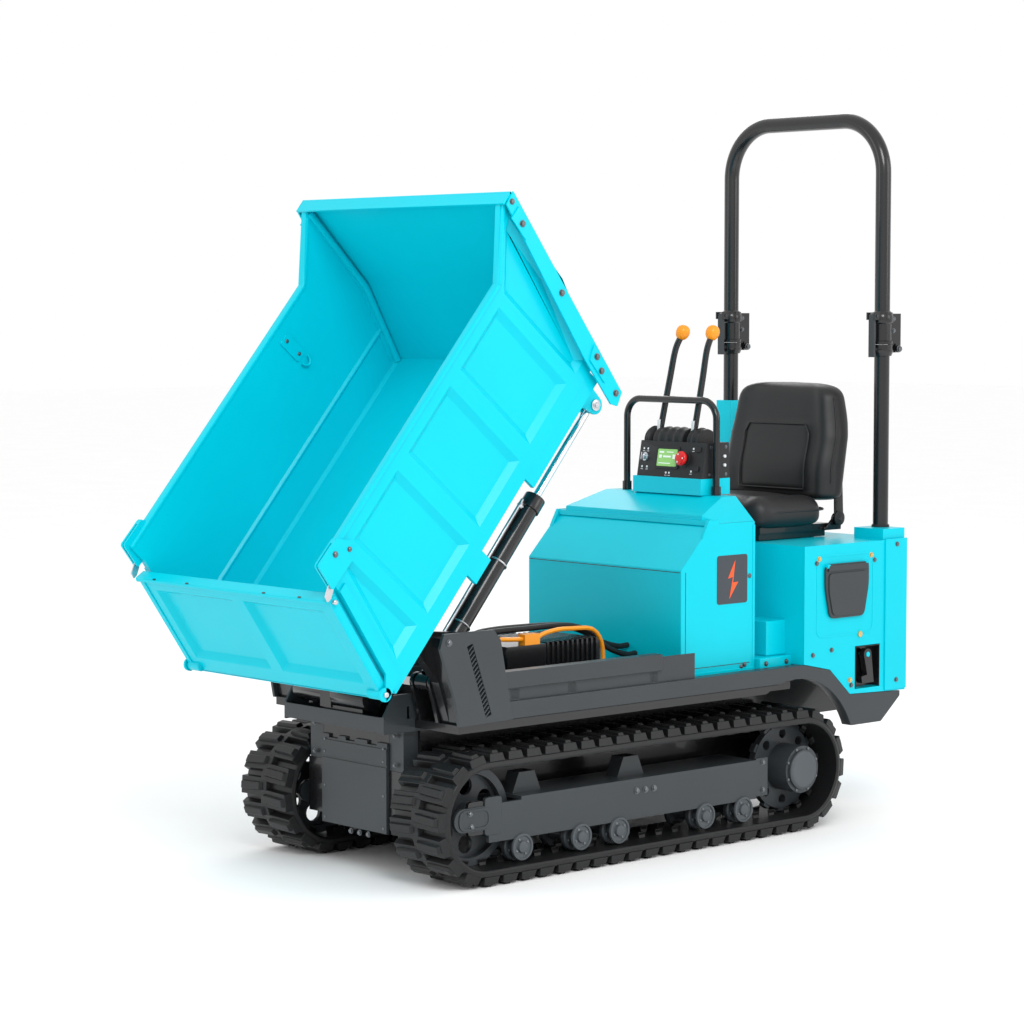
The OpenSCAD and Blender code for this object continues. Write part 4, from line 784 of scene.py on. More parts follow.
def make_console():
    """Screen, symbols, switches and emergency stop on the console."""
    origin, up, out = face_frame()
    at = lambda u, v, w: origin + Vector((u, 0, 0)) + up * v + out * w
    low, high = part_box("console_housing")
    # Raised frame round the screen
    bm = bmesh.new()
    frame_outline = rounded(rect(-0.03, 0.074, 0.026, 0.098), 0.006, 3)
    ring = [frame_outline, inset_round(frame_outline, 0.008)]
    loops = []
    for pts, w in ((ring[0], 0.0), (ring[0], 0.0032), (ring[1], 0.0032), (ring[1], 0.0015)):
        loops.append([at(u, v, w) for u, v in pts])
    add_loops(bm, loops, caps=False)
    finish_mesh("console_screen_frame", bm, PLASTIC, "chassis", bevel=0.0006)
    # Screen glass and its marks
    bm = bmesh.new()
    add_prism(bm, rounded(rect(-0.021, 0.065, 0.034, 0.089), 0.003, 2), at, 0.0, 0.0031)
    screen = finish_mesh("console_screen", bm, SCREEN, "chassis")
    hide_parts("display_screen")
    bm = bmesh.new()
    for u, v, wide, tall in ((-0.014, 0.076, 0.02, 0.006), (0.018, 0.078, 0.03, 0.003),
            (-0.014, 0.06, 0.012, 0.01), (0.004, 0.062, 0.034, 0.006), (0.046, 0.058, 0.012, 0.014),
            (-0.014, 0.042, 0.052, 0.003)):
        add_prism(bm, rect(u, u + wide, v, v + tall), at, 0.0031, 0.0034)
    finish_mesh("console_screen_marks", bm, SCREEN_MARK, "chassis")
    # Small white symbols, a key switch and two rocker switches
    bm = bmesh.new()
    for u, v in ((-0.088, 0.088), (-0.07, 0.088), (-0.088, 0.03), (-0.066, 0.03), (0.132, 0.094),
            (0.15, 0.094), (0.132, 0.022), (0.022, 0.014), (0.036, 0.014)):
        add_prism(bm, circle(0.0036, 12, u, v), at, 0.0, 0.0004)
        add_prism(bm, rect(u - 0.005, u + 0.005, v - 0.009, v - 0.0075), at, 0.0, 0.0004)
    finish_mesh("console_symbols", bm, PALE, "chassis")
    bm = bmesh.new()
    add_lathe(bm, at(-0.078, 0.062, 0), out, [(0, 0.014), (0.004, 0.014), (0.005, 0.012), (0.005, 0.009),
            (0.009, 0.008), (0.01, 0.006)], 28)
    add_prism(bm, rect(-0.0795, -0.0765, 0.05, 0.074), at, 0.008, 0.02)
    finish_mesh("console_key_switch", bm, ZINC, "chassis", bevel=0.0005)
    bm = bmesh.new()
    for v in (0.03, 0.092):
        add_prism(bm, rounded(rect(0.142, 0.166, v - 0.008, v + 0.008), 0.002, 2), at, 0.0, 0.004)
    finish_mesh("console_rockers", bm, PLASTIC, "chassis", bevel=0.0008)
    # Housing seams: edge screws on the side wall
    bm = bmesh.new()
    for y, z in ((low.y + 0.034, low.z + 0.012), (high.y - 0.014, low.z + 0.012),
            (high.y - 0.014, high.z - 0.014), (low.y + 0.04, high.z - 0.014)):
        add_cap_screw(bm, (high.x, y, z), (1, 0, 0), 0.0045)
    finish_mesh("console_screws", bm, BOLT, "chassis")
    # Emergency stop: turned mushroom head on its collar
    base = origin + Vector((0.096, 0, 0)) + up * 0.06
    bm = bmesh.new()
    add_lathe(bm, base - out * 0.02, out, [(0, 0.0088), (0.0315, 0.0088), (0.0315, 0.0225), (0.0335, 0.0232),
            (0.038, 0.0232), (0.041, 0.0215), (0.0435, 0.017), (0.0438, 0.003)], 40)
    knob = finish_mesh("stop_button_head", bm, RED, "emergency_stop", smooth=50)
    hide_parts("stop_button")
    bm = bmesh.new()
    add_lathe(bm, base, out, [(0, 0.02), (0.0, 0.027), (0.002, 0.027), (0.003, 0.025), (0.003, 0.0098),
            (0.0, 0.0098)], 40)
    finish_mesh("stop_button_collar", bm, PLASTIC, "chassis", smooth=40)
    bm = bmesh.new()
    for k in range(3):
        a = tau * k / 3
        spot = base + Vector((1, 0, 0)) * 0.014 * cos(a) + up * 0.014 * sin(a)
        add_lathe(bm, spot + out * 0.0236, out, [(0, 0.0028), (0.0006, 0.0028)], 10)
    finish_mesh("stop_button_arrows", bm, PALE, "emergency_stop")


def inset_round(points, distance):
    """A rounded outline moved inwards towards its centre, along each axis."""
    us = [p[0] for p in points]
    vs = [p[1] for p in points]
    cu, cv = (min(us) + max(us)) / 2, (min(vs) + max(vs)) / 2
    ku = 1 - distance / ((max(us) - min(us)) / 2)
    kv = 1 - distance / ((max(vs) - min(vs)) / 2)
    return [(cu + (u - cu) * ku, cv + (v - cv) * kv) for u, v in points]


def make_boots():
    """Ribbed half drums that cover the lever slots."""
    low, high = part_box("lever_boots")
    y = (low.y + high.y) / 2
    bm = bmesh.new()
    spans = []
    lever_xs = sorted(joint_place(f"control_lever_{s}_pull").x for s in ("left", "right"))
    edges = [low.x] + [e for x in lever_xs for e in (x - 0.01, x + 0.01)] + [high.x]
    for a, b in zip(edges[::2], edges[1::2]):
        spans.append((a, b))
    for a, b in spans:
        ribs = max(2, round((b - a) / 0.03))
        rings = []
        for i in range(ribs * 4 + 1):
            x = a + (b - a) * i / (ribs * 4)
            r = 0.0425 + 0.0034 * cos(tau * i / 4)
            if i in (0, ribs * 4):
                r = 0.041
            rings.append([(x, y + r * cos(pi * k / 24), low.z + r * sin(pi * k / 24)) for k in range(25)])
        add_loops(bm, rings)
    boots = finish_mesh("lever_boot_drums", bm, HOSE, "chassis", smooth=60)
    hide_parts("lever_boots")


def make_lever(side, lean):
    """A control lever: blade, bent rod and grip, its top moved sideways by lean."""
    pivot = joint_place(f"control_lever_{side}_pull")
    body = f"lever_{side}"
    foot = pivot + Vector((0, 0.004, 0.06))
    knee = pivot + Vector((lean * 0.3, 0.03, 0.215))
    neck = pivot + Vector((lean * 0.6, 0.042, 0.31))
    tip = pivot + Vector((lean, 0.058, 0.368))
    bm = bmesh.new()
    add_tube(bm, smooth_path([foot, knee, neck, tip - (tip - neck) * 0.25], 8), 0.0102, 20)
    rod = finish_mesh(f"lever_{side}_rod", bm, BLACK, body, smooth=60)
    bm = bmesh.new()
    up = (tip - neck).normalized()
    add_lathe(bm, tip - up * 0.024, up, [(0, 0.0115), (0.003, 0.015), (0.01, 0.0195), (0.02, 0.0222),
            (0.03, 0.0218), (0.038, 0.0185), (0.044, 0.0125), (0.0465, 0.005)], 32)
    knob = finish_mesh(f"lever_{side}_knob", bm, KNOB, body, smooth=60)
    bm = bmesh.new()
    blade = [(pivot.y - 0.012, pivot.z), (pivot.y + 0.012, pivot.z), (pivot.y + 0.014, pivot.z + 0.088),
            (pivot.y - 0.006, pivot.z + 0.088)]
    add_prism(bm, blade, along_x, pivot.x - 0.005, pivot.x + 0.005)
    add_prism(bm, circle(0.0155, 24, pivot.y, pivot.z), along_x, pivot.x - 0.0048, pivot.x + 0.0048)
    foot_piece = finish_mesh(f"lever_{side}_blade", bm, PALE, body, bevel=0.0008)
    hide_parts(f"control_lever_{side}")


# ---------------------------------------------------------------- hood

def make_hood_details():
    """Warning plate, folds, lid lips, seams and screws of the hood."""
    low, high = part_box("hood")
    x = high.x
    # Warning plate with a lightning mark
    plate = rounded(rect(0.404, 0.539, 0.723, 0.874), 0.01)
    bm = bmesh.new()
    add_prism(bm, plate, along_x, x, x + 0.0012)
    finish_mesh("hood_warning_plate", bm, DECAL, "chassis")
    bolt = [(0.484, 0.858), (0.452, 0.802), (0.474, 0.806), (0.458, 0.738), (0.497, 0.79), (0.474, 0.788)]
    bm = bmesh.new()
    add_prism(bm, bolt, along_x, x + 0.0012, x + 0.0018)
    finish_mesh("hood_lightning_mark", bm, MARK, "chassis")
    # Folded edges
    bm = bmesh.new()
    rear = high.y
    add_box(bm, x - 0.001, x + 0.002, rear - 0.01, rear, low.z, high.z - 0.085)
    add_box(bm, x - 0.001, x + 0.003, low.y + 0.002, rear, low.z, low.z + 0.014)
    # Lid: front lip and the two side tabs that stand over the slanted face
    lid_y, lid_z = low.y + 0.133, high.z - 0.074
    add_box(bm, -x + 0.012, x - 0.012, lid_y - 0.012, lid_y + 0.004, lid_z - 0.006, lid_z + 0.01)
    tab = [(lid_y - 0.042, lid_z - 0.042), (lid_y - 0.012, lid_z + 0.012), (lid_y + 0.03, lid_z + 0.012),
            (lid_y + 0.03, lid_z - 0.01), (lid_y + 0.004, lid_z - 0.014)]
    for x0, x1 in ((-x - 0.001, -x + 0.012), (x - 0.012, x + 0.001)):
        add_prism(bm, tab, along_x, x0, x1)
    finish_mesh("hood_folds", bm, CYAN, "chassis", bevel=0.0008)
    # Dark seams: under the slanted face, and round the side panel
    bm = bmesh.new()
    seam_z = low.z + 0.326
    add_box(bm, -x + 0.004, x - 0.004, low.y - 0.0006, low.y + 0.001, seam_z, seam_z + 0.002)
    for sign in (1, -1):
        x0, x1 = sorted((sign * (x - 0.001), sign * (x + 0.0006)))
        add_box(bm, x0, x1, low.y + 0.018, low.y + 0.02, low.z + 0.03, seam_z)
        add_box(bm, x0, x1, low.y + 0.018, rear - 0.02, low.z + 0.028, low.z + 0.03)
    finish_mesh("hood_seams", bm, BLACK, "chassis")
    bm = bmesh.new()
    for y, z in ((low.y + 0.02, low.z + 0.018), (rear - 0.06, low.z + 0.018), (rear - 0.024, low.z + 0.3)):
        add_cap_screw(bm, (x + 0.001, y, z), (1, 0, 0), 0.006)
    for px in (-0.3, 0.3):
        add_cap_screw(bm, (px, low.y, low.z + 0.018), (0, -1, 0), 0.005)
    finish_mesh("hood_screws", bm, BOLT, "chassis")


def make_foot_step():
    """The low step in the foot well, between the hood and the rear body."""
    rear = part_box("hood")[1].y
    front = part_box("seat_box")[0].y
    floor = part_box("hood")[0].z
    bm = bmesh.new()
    add_box(bm, -0.36, 0.366, rear + 0.004, front + 0.002, floor + 0.001, floor + 0.04)
    add_box(bm, -0.36, 0.34, rear + 0.06, front + 0.002, floor + 0.04, floor + 0.15)
    finish_mesh("foot_step", bm, CYAN, "chassis", bevel=0.004)
    bm = bmesh.new()
    for y in (rear + 0.03, front - 0.024):
        add_bolt(bm, Vector((0.366, y, floor + 0.022)), (1, 0, 0), 0.006)
    finish_mesh("foot_step_bolts", bm, BOLT, "chassis", smooth=30)


def make_rear_details():
    """Charging flap, pressed bead, hook recess lining and corner cap of the rear body."""
    low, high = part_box("charging_flap")
    mid = (low.y + high.y) / 2
    half = (high.y - low.y) / 2
    flap = rounded([(mid - half, high.z), (mid + half, high.z), (mid + half, high.z - 0.075),
            (mid + half - 0.022, low.z), (mid - half + 0.022, low.z), (mid - half, high.z - 0.075)], 0.02, 4)
    raised = [(mid + (y - mid) * 0.88, (high.z + low.z) / 2 - 0.01 + (z - (high.z + low.z) / 2) * 0.78) for
            y, z in flap]
    bm = bmesh.new()
    add_prism(bm, flap, along_x, low.x + 0.001, low.x + 0.009)
    add_prism(bm, raised, along_x, low.x + 0.009, low.x + 0.013)
    add_box(bm, low.x + 0.009, high.x, mid - half + 0.008, mid + half - 0.008, high.z - 0.022, high.z - 0.004)
    panel = finish_mesh("charging_flap_panel", bm, GREY, "charge_flap", bevel=0.0015)
    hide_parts("charging_flap")
    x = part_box("seat_box")[1].x + 0.007
    bm = bmesh.new()
    outline = rounded(rect(mid - half - 0.034, mid + half + 0.034, low.z - 0.06, high.z + 0.03), 0.03, 5)
    inner = inset_round(outline, 0.007)
    loops = []
    for pts, w in ((outline, 0.0), (outline, 0.0012), (inner, 0.0012), (inner, 0.0)):
        loops.append([Vector((x + w, u, v)) for u, v in pts])
    add_loops(bm, loops, caps=False)
    finish_mesh("rear_cover_bead", bm, CYAN, "chassis", bevel=0.0006)
    hook_low, hook_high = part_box("tow_hook")
    y0, y1 = hook_low.y - 0.028, hook_high.y + 0.028
    z0, z1 = hook_low.z - 0.014, hook_high.z + 0.01
    back = x - 0.0305
    bm = bmesh.new()
    add_box(bm, back, back + 0.001, y0, y1, z0, z1)
    add_box(bm, back, x + 0.001, y0, y0 + 0.002, z0, z1)
    add_box(bm, back, x + 0.001, y1 - 0.002, y1, z0, z1)
    add_box(bm, back, x + 0.001, y0, y1, z1 - 0.002, z1)
    finish_mesh("hook_recess_lining", bm, BLACK, "chassis")
    bm = bmesh.new()
    add_lathe(bm, (x, y0 + 0.02, z1 + 0.04), (1, 0, 0), [(0, 0.01), (0.004, 0.01), (0.006, 0.007),
            (0.006, 0.002)])
    for y, z in ((mid - half - 0.022, high.z + 0.018), (mid + half + 0.02, high.z + 0.018),
            (y0 - 0.026, z0 + 0.03)):
        add_bolt(bm, Vector((x, y, z)), (1, 0, 0), 0.0065)
    finish_mesh("rear_cover_bolts", bm, BRASS, "chassis", smooth=30)


# ---------------------------------------------------------------- running gear

ROLLER_FACE = 0.4265   # inner plane of the rollers' outer discs


def make_rollers():
    """Road rollers with their outer discs and bolts."""
    for side, sign in SIDES:
        for number in range(1, 6):
            place = joint_place(f"roller_{side}_{number}_spin")
            body = f"road_roller_{side}_{number}"
            node = f"roller_{side}_{number}"
            low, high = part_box(node)
            bm = bmesh.new()
            out = Vector((sign, 0, 0))
            inner = Vector((low.x if sign > 0 else high.x, place.y, place.z))
            length = high.x - low.x
            profile = [(0, 0.0101), (0, 0.02), (0.003, 0.022), (0.01, 0.022), (0.01, 0.0405),
                    (0.013, 0.0445), (0.026, 0.045), (0.03, 0.042), (0.031, 0.026), (0.04, 0.022),
                    (length - 0.04, 0.022), (length - 0.031, 0.026), (length - 0.03, 0.042),
                    (length - 0.026, 0.045), (length - 0.013, 0.0445), (length - 0.009, 0.041),
                    (length - 0.009, 0.034), (length - 0.015, 0.031), (length - 0.015, 0.024),
                    (length - 0.006, 0.022), (length, 0.02), (length, 0.0101)]
            add_lathe(bm, inner, out, profile, 40)
            wheel = finish_mesh(f"road_wheel_{side}_{number}", bm, STEEL, body, smooth=35)
            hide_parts(node)
            bm = bmesh.new()
            rim = Vector((sign * ROLLER_FACE, place.y, place.z))
            add_lathe(bm, rim, out, [(0, 0.0101), (0, 0.0385), (0.004, 0.04), (0.009, 0.0385),
                    (0.009, 0.033), (0.005, 0.031), (0.004, 0.018), (0.011, 0.016), (0.012, 0.012),
                    (0.012, 0.004)], 40)
            disc = finish_mesh(f"road_wheel_disc_{side}_{number}", bm, CAP_GREY, body, smooth=35)
            bm = bmesh.new()
            for k in range(4):
                a = tau * k / 4 + 0.5
                add_bolt(bm, rim + out * 0.004 + Vector((0, cos(a), sin(a))) * 0.024, out, 0.004)
                spot = inner + out * (length - 0.015) + Vector((0, cos(a), sin(a))) * 0.0275
                add_bolt(bm, spot, out, 0.0038)
            finish_mesh(f"road_wheel_bolts_{side}_{number}", bm, BOLT, body, smooth=30)


def make_end_wheels():
    """Sprocket caps, idler forks and belt adjusters."""
    for side, sign in SIDES:
        out = Vector((sign, 0, 0))
        hub = joint_place(f"sprocket_{side}_spin")
        low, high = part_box(f"sprocket_{side}")
        face = Vector((high.x if sign > 0 else low.x, hub.y, hub.z))
        bm = bmesh.new()
        for k in range(8):
            a = tau * k / 8 + pi / 8
            add_bolt(bm, face - out * 0.0095 + Vector((0, cos(a), sin(a))) * 0.068, out, 0.005)
        finish_mesh(f"sprocket_bolts_{side}", bm, BOLT, f"drive_sprocket_{side}", smooth=30)
        bm = bmesh.new()
        add_lathe(bm, face, out, [(0, 0.058), (0.002, 0.056), (0.003, 0.05), (0.002, 0.044), (0.002, 0.004)],
                40)
        cap = finish_mesh(f"sprocket_cap_{side}", bm, CAP_GREY, f"drive_sprocket_{side}", smooth=40)
        # Bolts and rim of the idler's fork plates
        idler = joint_place(f"idler_{side}_spin")
        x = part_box("track_frames")[1].x * sign
        bm = bmesh.new()
        for dy, dz in ((-0.046, 0.018), (-0.04, -0.02)):
            add_bolt(bm, Vector((x, idler.y + dy, idler.z + dz)), out, 0.0065)
        finish_mesh(f"idler_fork_bolts_{side}", bm, BOLT, "chassis", smooth=30)
        bm = bmesh.new()
        ring = rounded(rect(idler.y - 0.088, idler.y + 0.03, idler.z - 0.03, idler.z + 0.03), 0.029, 6)
        inner = [(u * 0.86 + (idler.y - 0.029) * 0.14, v * 0.78 + idler.z * 0.22) for u, v in ring]
        place = mirrored(sign)
        px = abs(x)
        add_loops(bm, [[place(u, v, w) for u, v in pts] for pts, w in ((ring, px), (ring, px + 0.003),
                (inner, px + 0.003), (inner, px + 0.0005))], caps=False)
        finish_mesh(f"idler_fork_rim_{side}", bm, GREY, "chassis", bevel=0.0006)
        # Long side sheet of the track frame, up to the idler, and its black fork cover
        bm = bmesh.new()
        nose = rounded(rect(idler.y + 0.01, idler.y + 0.075, idler.z - 0.052, idler.z + 0.058), 0.012)
        add_prism(bm, nose, place, px - 0.012, px + 0.001)
        finish_mesh(f"track_frame_nose_{side}", bm, GREY, "chassis", bevel=0.002)
        bm = bmesh.new()
        cover = rounded(rect(idler.y - 0.05, idler.y + 0.014, idler.z - 0.048, idler.z + 0.05), 0.014)
        add_prism(bm, cover, place, px - 0.016, px - 0.004)
        finish_mesh(f"idler_fork_cover_{side}", bm, BLACK, "chassis", bevel=0.002)
        # Adjuster rod with its nut behind the fork
        bm = bmesh.new()
        add_lathe(bm, (sign * TRACK_X, idler.y + 0.155, idler.z), (0, 1, 0), [(0, 0.01), (0.004, 0.012),
                (0.1, 0.012), (0.1, 0.02), (0.13, 0.02), (0.13, 0.028), (0.3, 0.028), (0.3, 0.012)], 24)
        finish_mesh(f"track_adjuster_{side}", bm, ZINC, "chassis", smooth=35)


# ---------------------------------------------------------------- roll hoop, cylinders and small parts

POST_X = 0.337         # the roll hoop's posts


def make_hoop_details():
    """Clamps, sleeves, bolts and seals of the roll hoop."""
    fold = joint_place("hoop_fold")
    low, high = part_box("rops_posts")
    post_y = fold.y - 0.06
    joint_z = high.z
    for side, sign in SIDES:
        bm = bmesh.new()
        base = Vector((sign * POST_X, post_y, joint_z - 0.026))
        add_lathe(bm, base, (0, 0, 1), [(-0.012, 0.0252), (-0.01, 0.031), (0.0, 0.035), (0.004, 0.0365),
                (0.01, 0.0365), (0.012, 0.0345), (0.025, 0.0345)], 36)
        finish_mesh(f"post_clamp_{side}", bm, BLACK, "chassis", smooth=35)
        bm = bmesh.new()
        up = base + Vector((0, 0, 0.027))
        add_lathe(bm, up, (0, 0, 1), [(0.001, 0.0345), (0.01, 0.035), (0.012, 0.0305), (0.066, 0.0305),
                (0.07, 0.035), (0.078, 0.0365), (0.088, 0.0365), (0.096, 0.035), (0.104, 0.03),
                (0.108, 0.0253)], 36)
        finish_mesh(f"hoop_sleeve_{side}", bm, BLACK, "roll_hoop", smooth=35)
        bm = bmesh.new()
        for dx in (0.0205, -0.0205):
            add_bolt(bm, Vector((sign * POST_X + dx * 0.98, fold.y, fold.z)), (copysign(1, dx), 0, 0), 0.0085)
        for dz in (0.045, 0.083):
            for dx in (0.018, -0.018):
                add_bolt(bm, Vector((sign * POST_X + dx * 0.94, post_y + 0.036, joint_z + dz)),
                        (copysign(1, dx), 0, 0), 0.006)
        finish_mesh(f"hoop_bolts_{side}", bm, BOLT, "roll_hoop", smooth=30)
        bm = bmesh.new()
        ring_z = low.z + 0.035
        add_lathe(bm, (sign * POST_X, post_y, ring_z), (0, 0, 1), [(0, 0.0252), (0.0, 0.029), (0.006, 0.029),
                (0.008, 0.0275), (0.008, 0.0252)], 32)
        finish_mesh(f"post_seal_{side}", bm, PLASTIC, "chassis", smooth=35)


CYLINDER_X = 0.29     # the tip cylinders' planes


def make_cylinder_details():
    """Tubes, feed pipes, clips, nipples and clevis bosses of the tip cylinders."""
    swing = joint_place("cylinder_swing")
    slide = next(j for j in frame["joints"] if j["name"] == "rod_stroke")
    along = Vector(slide["axis"])
    across = Vector((0, along.z, -along.y))
    for side, sign in SIDES:
        base = Vector((sign * CYLINDER_X, swing.y, swing.z))
        bm = bmesh.new()
        add_lathe(bm, base + along * 0.02, along, [(0, 0.024), (0.004, 0.028), (0.59, 0.028),
                (0.592, 0.0325), (0.632, 0.0325), (0.636, 0.03), (0.6365, 0.014)], 36)
        finish_mesh(f"cylinder_tube_{side}", bm, BLACK, "tip_barrels", smooth=35)
        bm = bmesh.new()
        run = [base + along * s - across * d for s, d in ((0.085, 0.02), (0.09, 0.034), (0.11, 0.037),
                (0.58, 0.037), (0.6, 0.035), (0.606, 0.022))]
        add_tube(bm, smooth_path(run, 5), 0.0055, 14)
        finish_mesh(f"cylinder_feed_pipe_{side}", bm, ZINC, "tip_barrels", smooth=60)
        bm = bmesh.new()
        for s in (0.2, 0.42):
            ring = [base + along * s + (across * cos(a) + Vector((1, 0, 0)) * sin(a)) * 0.0292 for a in
                    [tau * k / 32 for k in range(32)]]
            add_tube(bm, ring + ring[:1], 0.003, 8, caps=False)
        for s in (0.088, 0.604):
            add_lathe(bm, base + along * s - across * 0.026, -across, [(0, 0.01), (0.01, 0.01),
                    (0.014, 0.008)], 6)
        finish_mesh(f"cylinder_clips_{side}", bm, ZINC, "tip_barrels", smooth=40)
        # Grease nipple at the rod's eye
        reach = (Vector((sign * CYLINDER_X, 0, 0)) + Vector((0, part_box("cylinder_rods")[1].y,
                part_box("cylinder_rods")[1].z)))
        tip = reach - Vector((0, 0.024, 0.024))
        bm = bmesh.new()
        add_lathe(bm, tip + along * 0.022, along, [(0, 0.006), (0.008, 0.006), (0.009, 0.004),
                (0.016, 0.004), (0.018, 0.002)], 14)
        finish_mesh(f"rod_grease_nipple_{side}", bm, BRASS, "tip_rods", smooth=40)
        # Bosses and bolts on the clevis ears
        bm = bmesh.new()
        for x, d in ((0.3125, 1), (0.263, -1)):
            add_lathe(bm, (sign * x, tip.y, tip.z), (sign * d, 0, 0), [(0, 0.017), (0.004, 0.017),
                    (0.005, 0.015)], 28)
            add_bolt(bm, Vector((sign * (x + 0.0045 * d), tip.y, tip.z)), (sign * d, 0, 0), 0.009)
        finish_mesh(f"clevis_bosses_{side}", bm, ZINC, "tray", smooth=30)


STRIP_LEAN = 13.5       # degrees: the tray's side strips


def make_bolts():
    """Real heads over the plain ones of the frame's bolt nodes."""
    bm = bmesh.new()
    for sign in (1, -1):
        out = (sign, 0, 0)
        for x, y, z, r in ((0.43, -0.758, 0.704, 0.0075), (0.238, -0.666, 0.486, 0.0095),
                (0.42, 0.76, 0.545, 0.006), (0.42, 0.848, 0.555, 0.006), (0.42, 0.775, 0.834, 0.006),
                (0.42, 1.05, 0.83, 0.006), (0.42, 0.942, 0.435, 0.006), (0.344, 0.278, 0.529, 0.006),
                (0.344, 0.528, 0.529, 0.006), (0.43, -0.023, 0.205, 0.0075), (0.43, 0.013, 0.205, 0.0075),
                (0.43, 0.049, 0.205, 0.0075), (0.428, 0.525, 0.232, 0.0065), (0.428, 0.525, 0.146, 0.0065),
                (0.425, 1.155, 0.435, 0.006), (0.425, 1.155, 0.875, 0.006)):
            add_bolt(bm, Vector((sign * x, y, z)), out, r)
    heads = finish_mesh("chassis_bolts", bm, BOLT, "chassis", smooth=30)
    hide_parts("body_bolts")
    bm = bmesh.new()
    place = level(lambda u, v, w: (w, u, v))
    lean = tan(radians(STRIP_LEAN))
    for sign in (1, -1):
        out = (sign, 0, 0)
        for x, y, z, r in ((0.476, TRAY_REAR - 0.004 - 0.1 * lean, FLOOR_Z - 0.1, 0.0075),
                (0.476, TRAY_REAR - 0.004 + 0.25 * lean, FLOOR_Z + 0.25, 0.0075),
                (0.481, TRAY_REAR + 0.002, FLOOR_Z + 0.03, 0.0075),
                (0.481, TRAY_REAR - 0.018, FLOOR_Z - 0.01, 0.0075),
                (0.481, TRAY_REAR + 0.104, HEAD_Z - 0.08, 0.0075), (0.476, TRAY_REAR + 0.128, HEAD_Z - 0.014,
                0.0065), (0.464, TRAY_FRONT + 0.226, RIM_Z - 0.04, 0.0055),
                (0.464, TRAY_FRONT + 0.186, RIM_Z - 0.01, 0.0065)):
            add_bolt(bm, place(y, z, sign * x), out, r)
    heads = finish_mesh("tray_bolt_heads", bm, BOLT, "tray", smooth=30)
    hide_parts("tray_bolts")


FRONT_FACE = -0.752    # the front plate's face


def make_front_details():
    """Bolts and sheet layers of the front plate."""
    bm = bmesh.new()
    for x in (-0.135, 0.135):
        for z in (0.14, 0.235, 0.335, 0.372):
            add_bolt(bm, Vector((x, FRONT_FACE, z)), (0, -1, 0), 0.0042)
    for x in (-0.185, 0.185):
        for z in (0.33, 0.415):
            add_bolt(bm, Vector((x, FRONT_FACE, z)), (0, -1, 0), 0.0052)
    for x in (-0.02, 0.02, 0.06):
        add_bolt(bm, Vector((x, FRONT_FACE + 0.004, 0.113)), (0, -1, 0), 0.0065)
    finish_mesh("front_plate_bolts", bm, BOLT, "chassis", smooth=30)
    bm = bmesh.new()
    add_box(bm, -0.149, 0.149, FRONT_FACE - 0.0025, FRONT_FACE, 0.126, 0.318)
    add_box(bm, -0.149, 0.149, FRONT_FACE - 0.0025, FRONT_FACE, 0.323, 0.372)
    finish_mesh("front_sheets", bm, GREY, "chassis", bevel=0.0012)


def make_rail_gap_shade():
    """Dark inner plates behind the gap between the two side rails: painted shade, standing in for the shadow in
    that gap.
    """
    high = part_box("side_rails")[1]
    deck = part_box("power_unit")[0].z
    bm = bmesh.new()
    for sign in (1, -1):
        x0, x1 = sorted((sign * (high.x - 0.02), sign * (high.x - 0.012)))
        add_box(bm, x0, x1, TIP.y + 0.262, TRAY_REAR + 0.094, deck + 0.002, deck + 0.128)
    # The dark grey on these plates is painted shade for the shadowed gap between the rails.
    finish_mesh("rail_gap_shade_plates", bm, GREY, "chassis", bevel=0.001)


LOUVRES = 17
LOUVRE_PITCH = 0.0125
LOUVRE_LEAN = 18.9      # degrees from upright


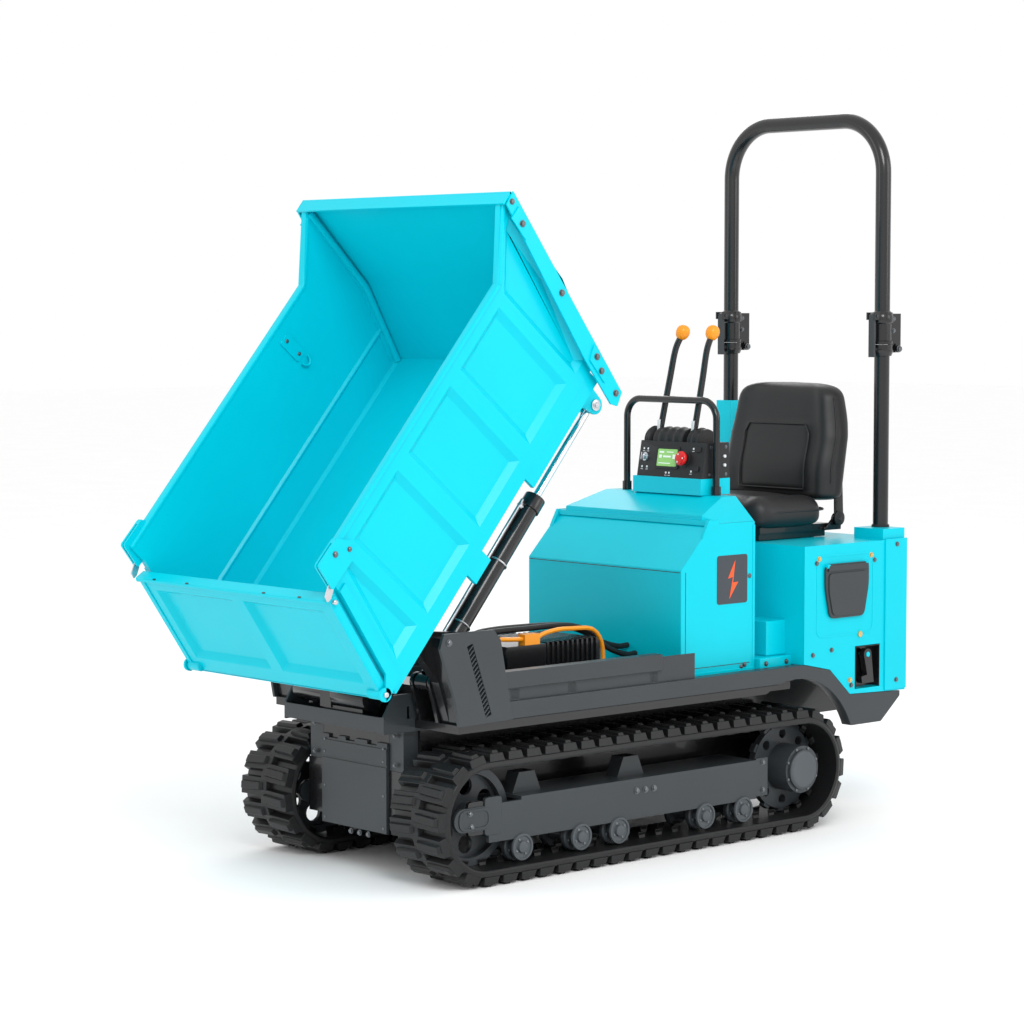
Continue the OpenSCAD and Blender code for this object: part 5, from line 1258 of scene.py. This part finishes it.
def make_louvres():
    """Slats in the slanted air slots of the tower covers."""
    slot_top = Vector((0, TIP.y + 0.14, TIP.z - 0.023))
    a = radians(LOUVRE_LEAN)
    down = Vector((0, sin(a), -cos(a)))
    side = Vector((0, cos(a), sin(a)))
    bm = bmesh.new()
    for sign in (1, -1):
        for k in range(LOUVRES):
            middle = slot_top + down * (0.01 + k * LOUVRE_PITCH)
            tilt = side * 0.0105
            rise = down * -0.005
            base = [middle - tilt - rise, middle + tilt + rise, middle + tilt + rise + down * 0.0045,
                    middle - tilt - rise + down * 0.0045]
            loops = [[Vector((sign * x, p.y, p.z)) for p in base] for x in (0.4195, 0.4285)]
            add_loops(bm, loops)
    finish_mesh("tower_louvres", bm, GREY, "chassis", bevel=0.0006)
    bm = bmesh.new()
    for sign in (1, -1):
        pts = [slot_top - side * 0.01, slot_top + side * 0.01, slot_top + side * 0.01 + down * 0.218,
                slot_top - side * 0.01 + down * 0.218]
        add_loops(bm, [[Vector((sign * x, p.y, p.z)) for p in pts] for x in (0.4182, 0.419)])
    finish_mesh("tower_louvre_backs", bm, BLACK, "chassis")


# ---------------------------------------------------------------- the whole model

def paint_frame():
    """Gives every CAD node the look of its material slot."""
    for part in frame["record"]["subparts"]:
        assign(NODES[part["node"]], SLOT_LOOKS[part["material_slot"]])


def soften_edges():
    """Rounds the edges of the CAD nodes that stay in sight."""
    for name, width in (("main_frame", 0.002), ("front_plates", 0.0015), ("side_rails", 0.003),
            ("louvre_covers", 0.0015), ("track_frames", 0.002), ("hood", 0.003), ("console_plinth", 0.002),
            ("console_housing", 0.003), ("seat_box", 0.003), ("rear_covers", 0.0015),
            ("tray_underframe", 0.002), ("headboard_bars", 0.0015), ("power_unit", 0.0015),
            ("battery_pack", 0.002), ("seat_base", 0.002), ("charging_flap", 0.0012),
            ("hydraulic_pump", 0.001), ("tow_hook", 0.002), ("seat_slides", 0.001)):
        node = NODES[name]
        weld = node.modifiers.new("weld", "WELD")
        weld.merge_threshold = 0.00001
        add_bevel(node, width, 2)


make_camera()
make_studio()
paint_frame()
soften_edges()
for side, sign in SIDES:
    make_track(side, sign)
make_rollers()
make_end_wheels()
make_tray()
make_tailgate()
make_cylinder_details()
make_rail_gap_shade()
make_louvres()
make_front_details()
make_hood_details()
make_foot_step()
make_rear_details()
make_console()
make_boots()
make_lever("left", 0.025)
make_lever("right", 0.045)
make_cushion()
make_backrest()
make_hoop_details()
make_bolts()
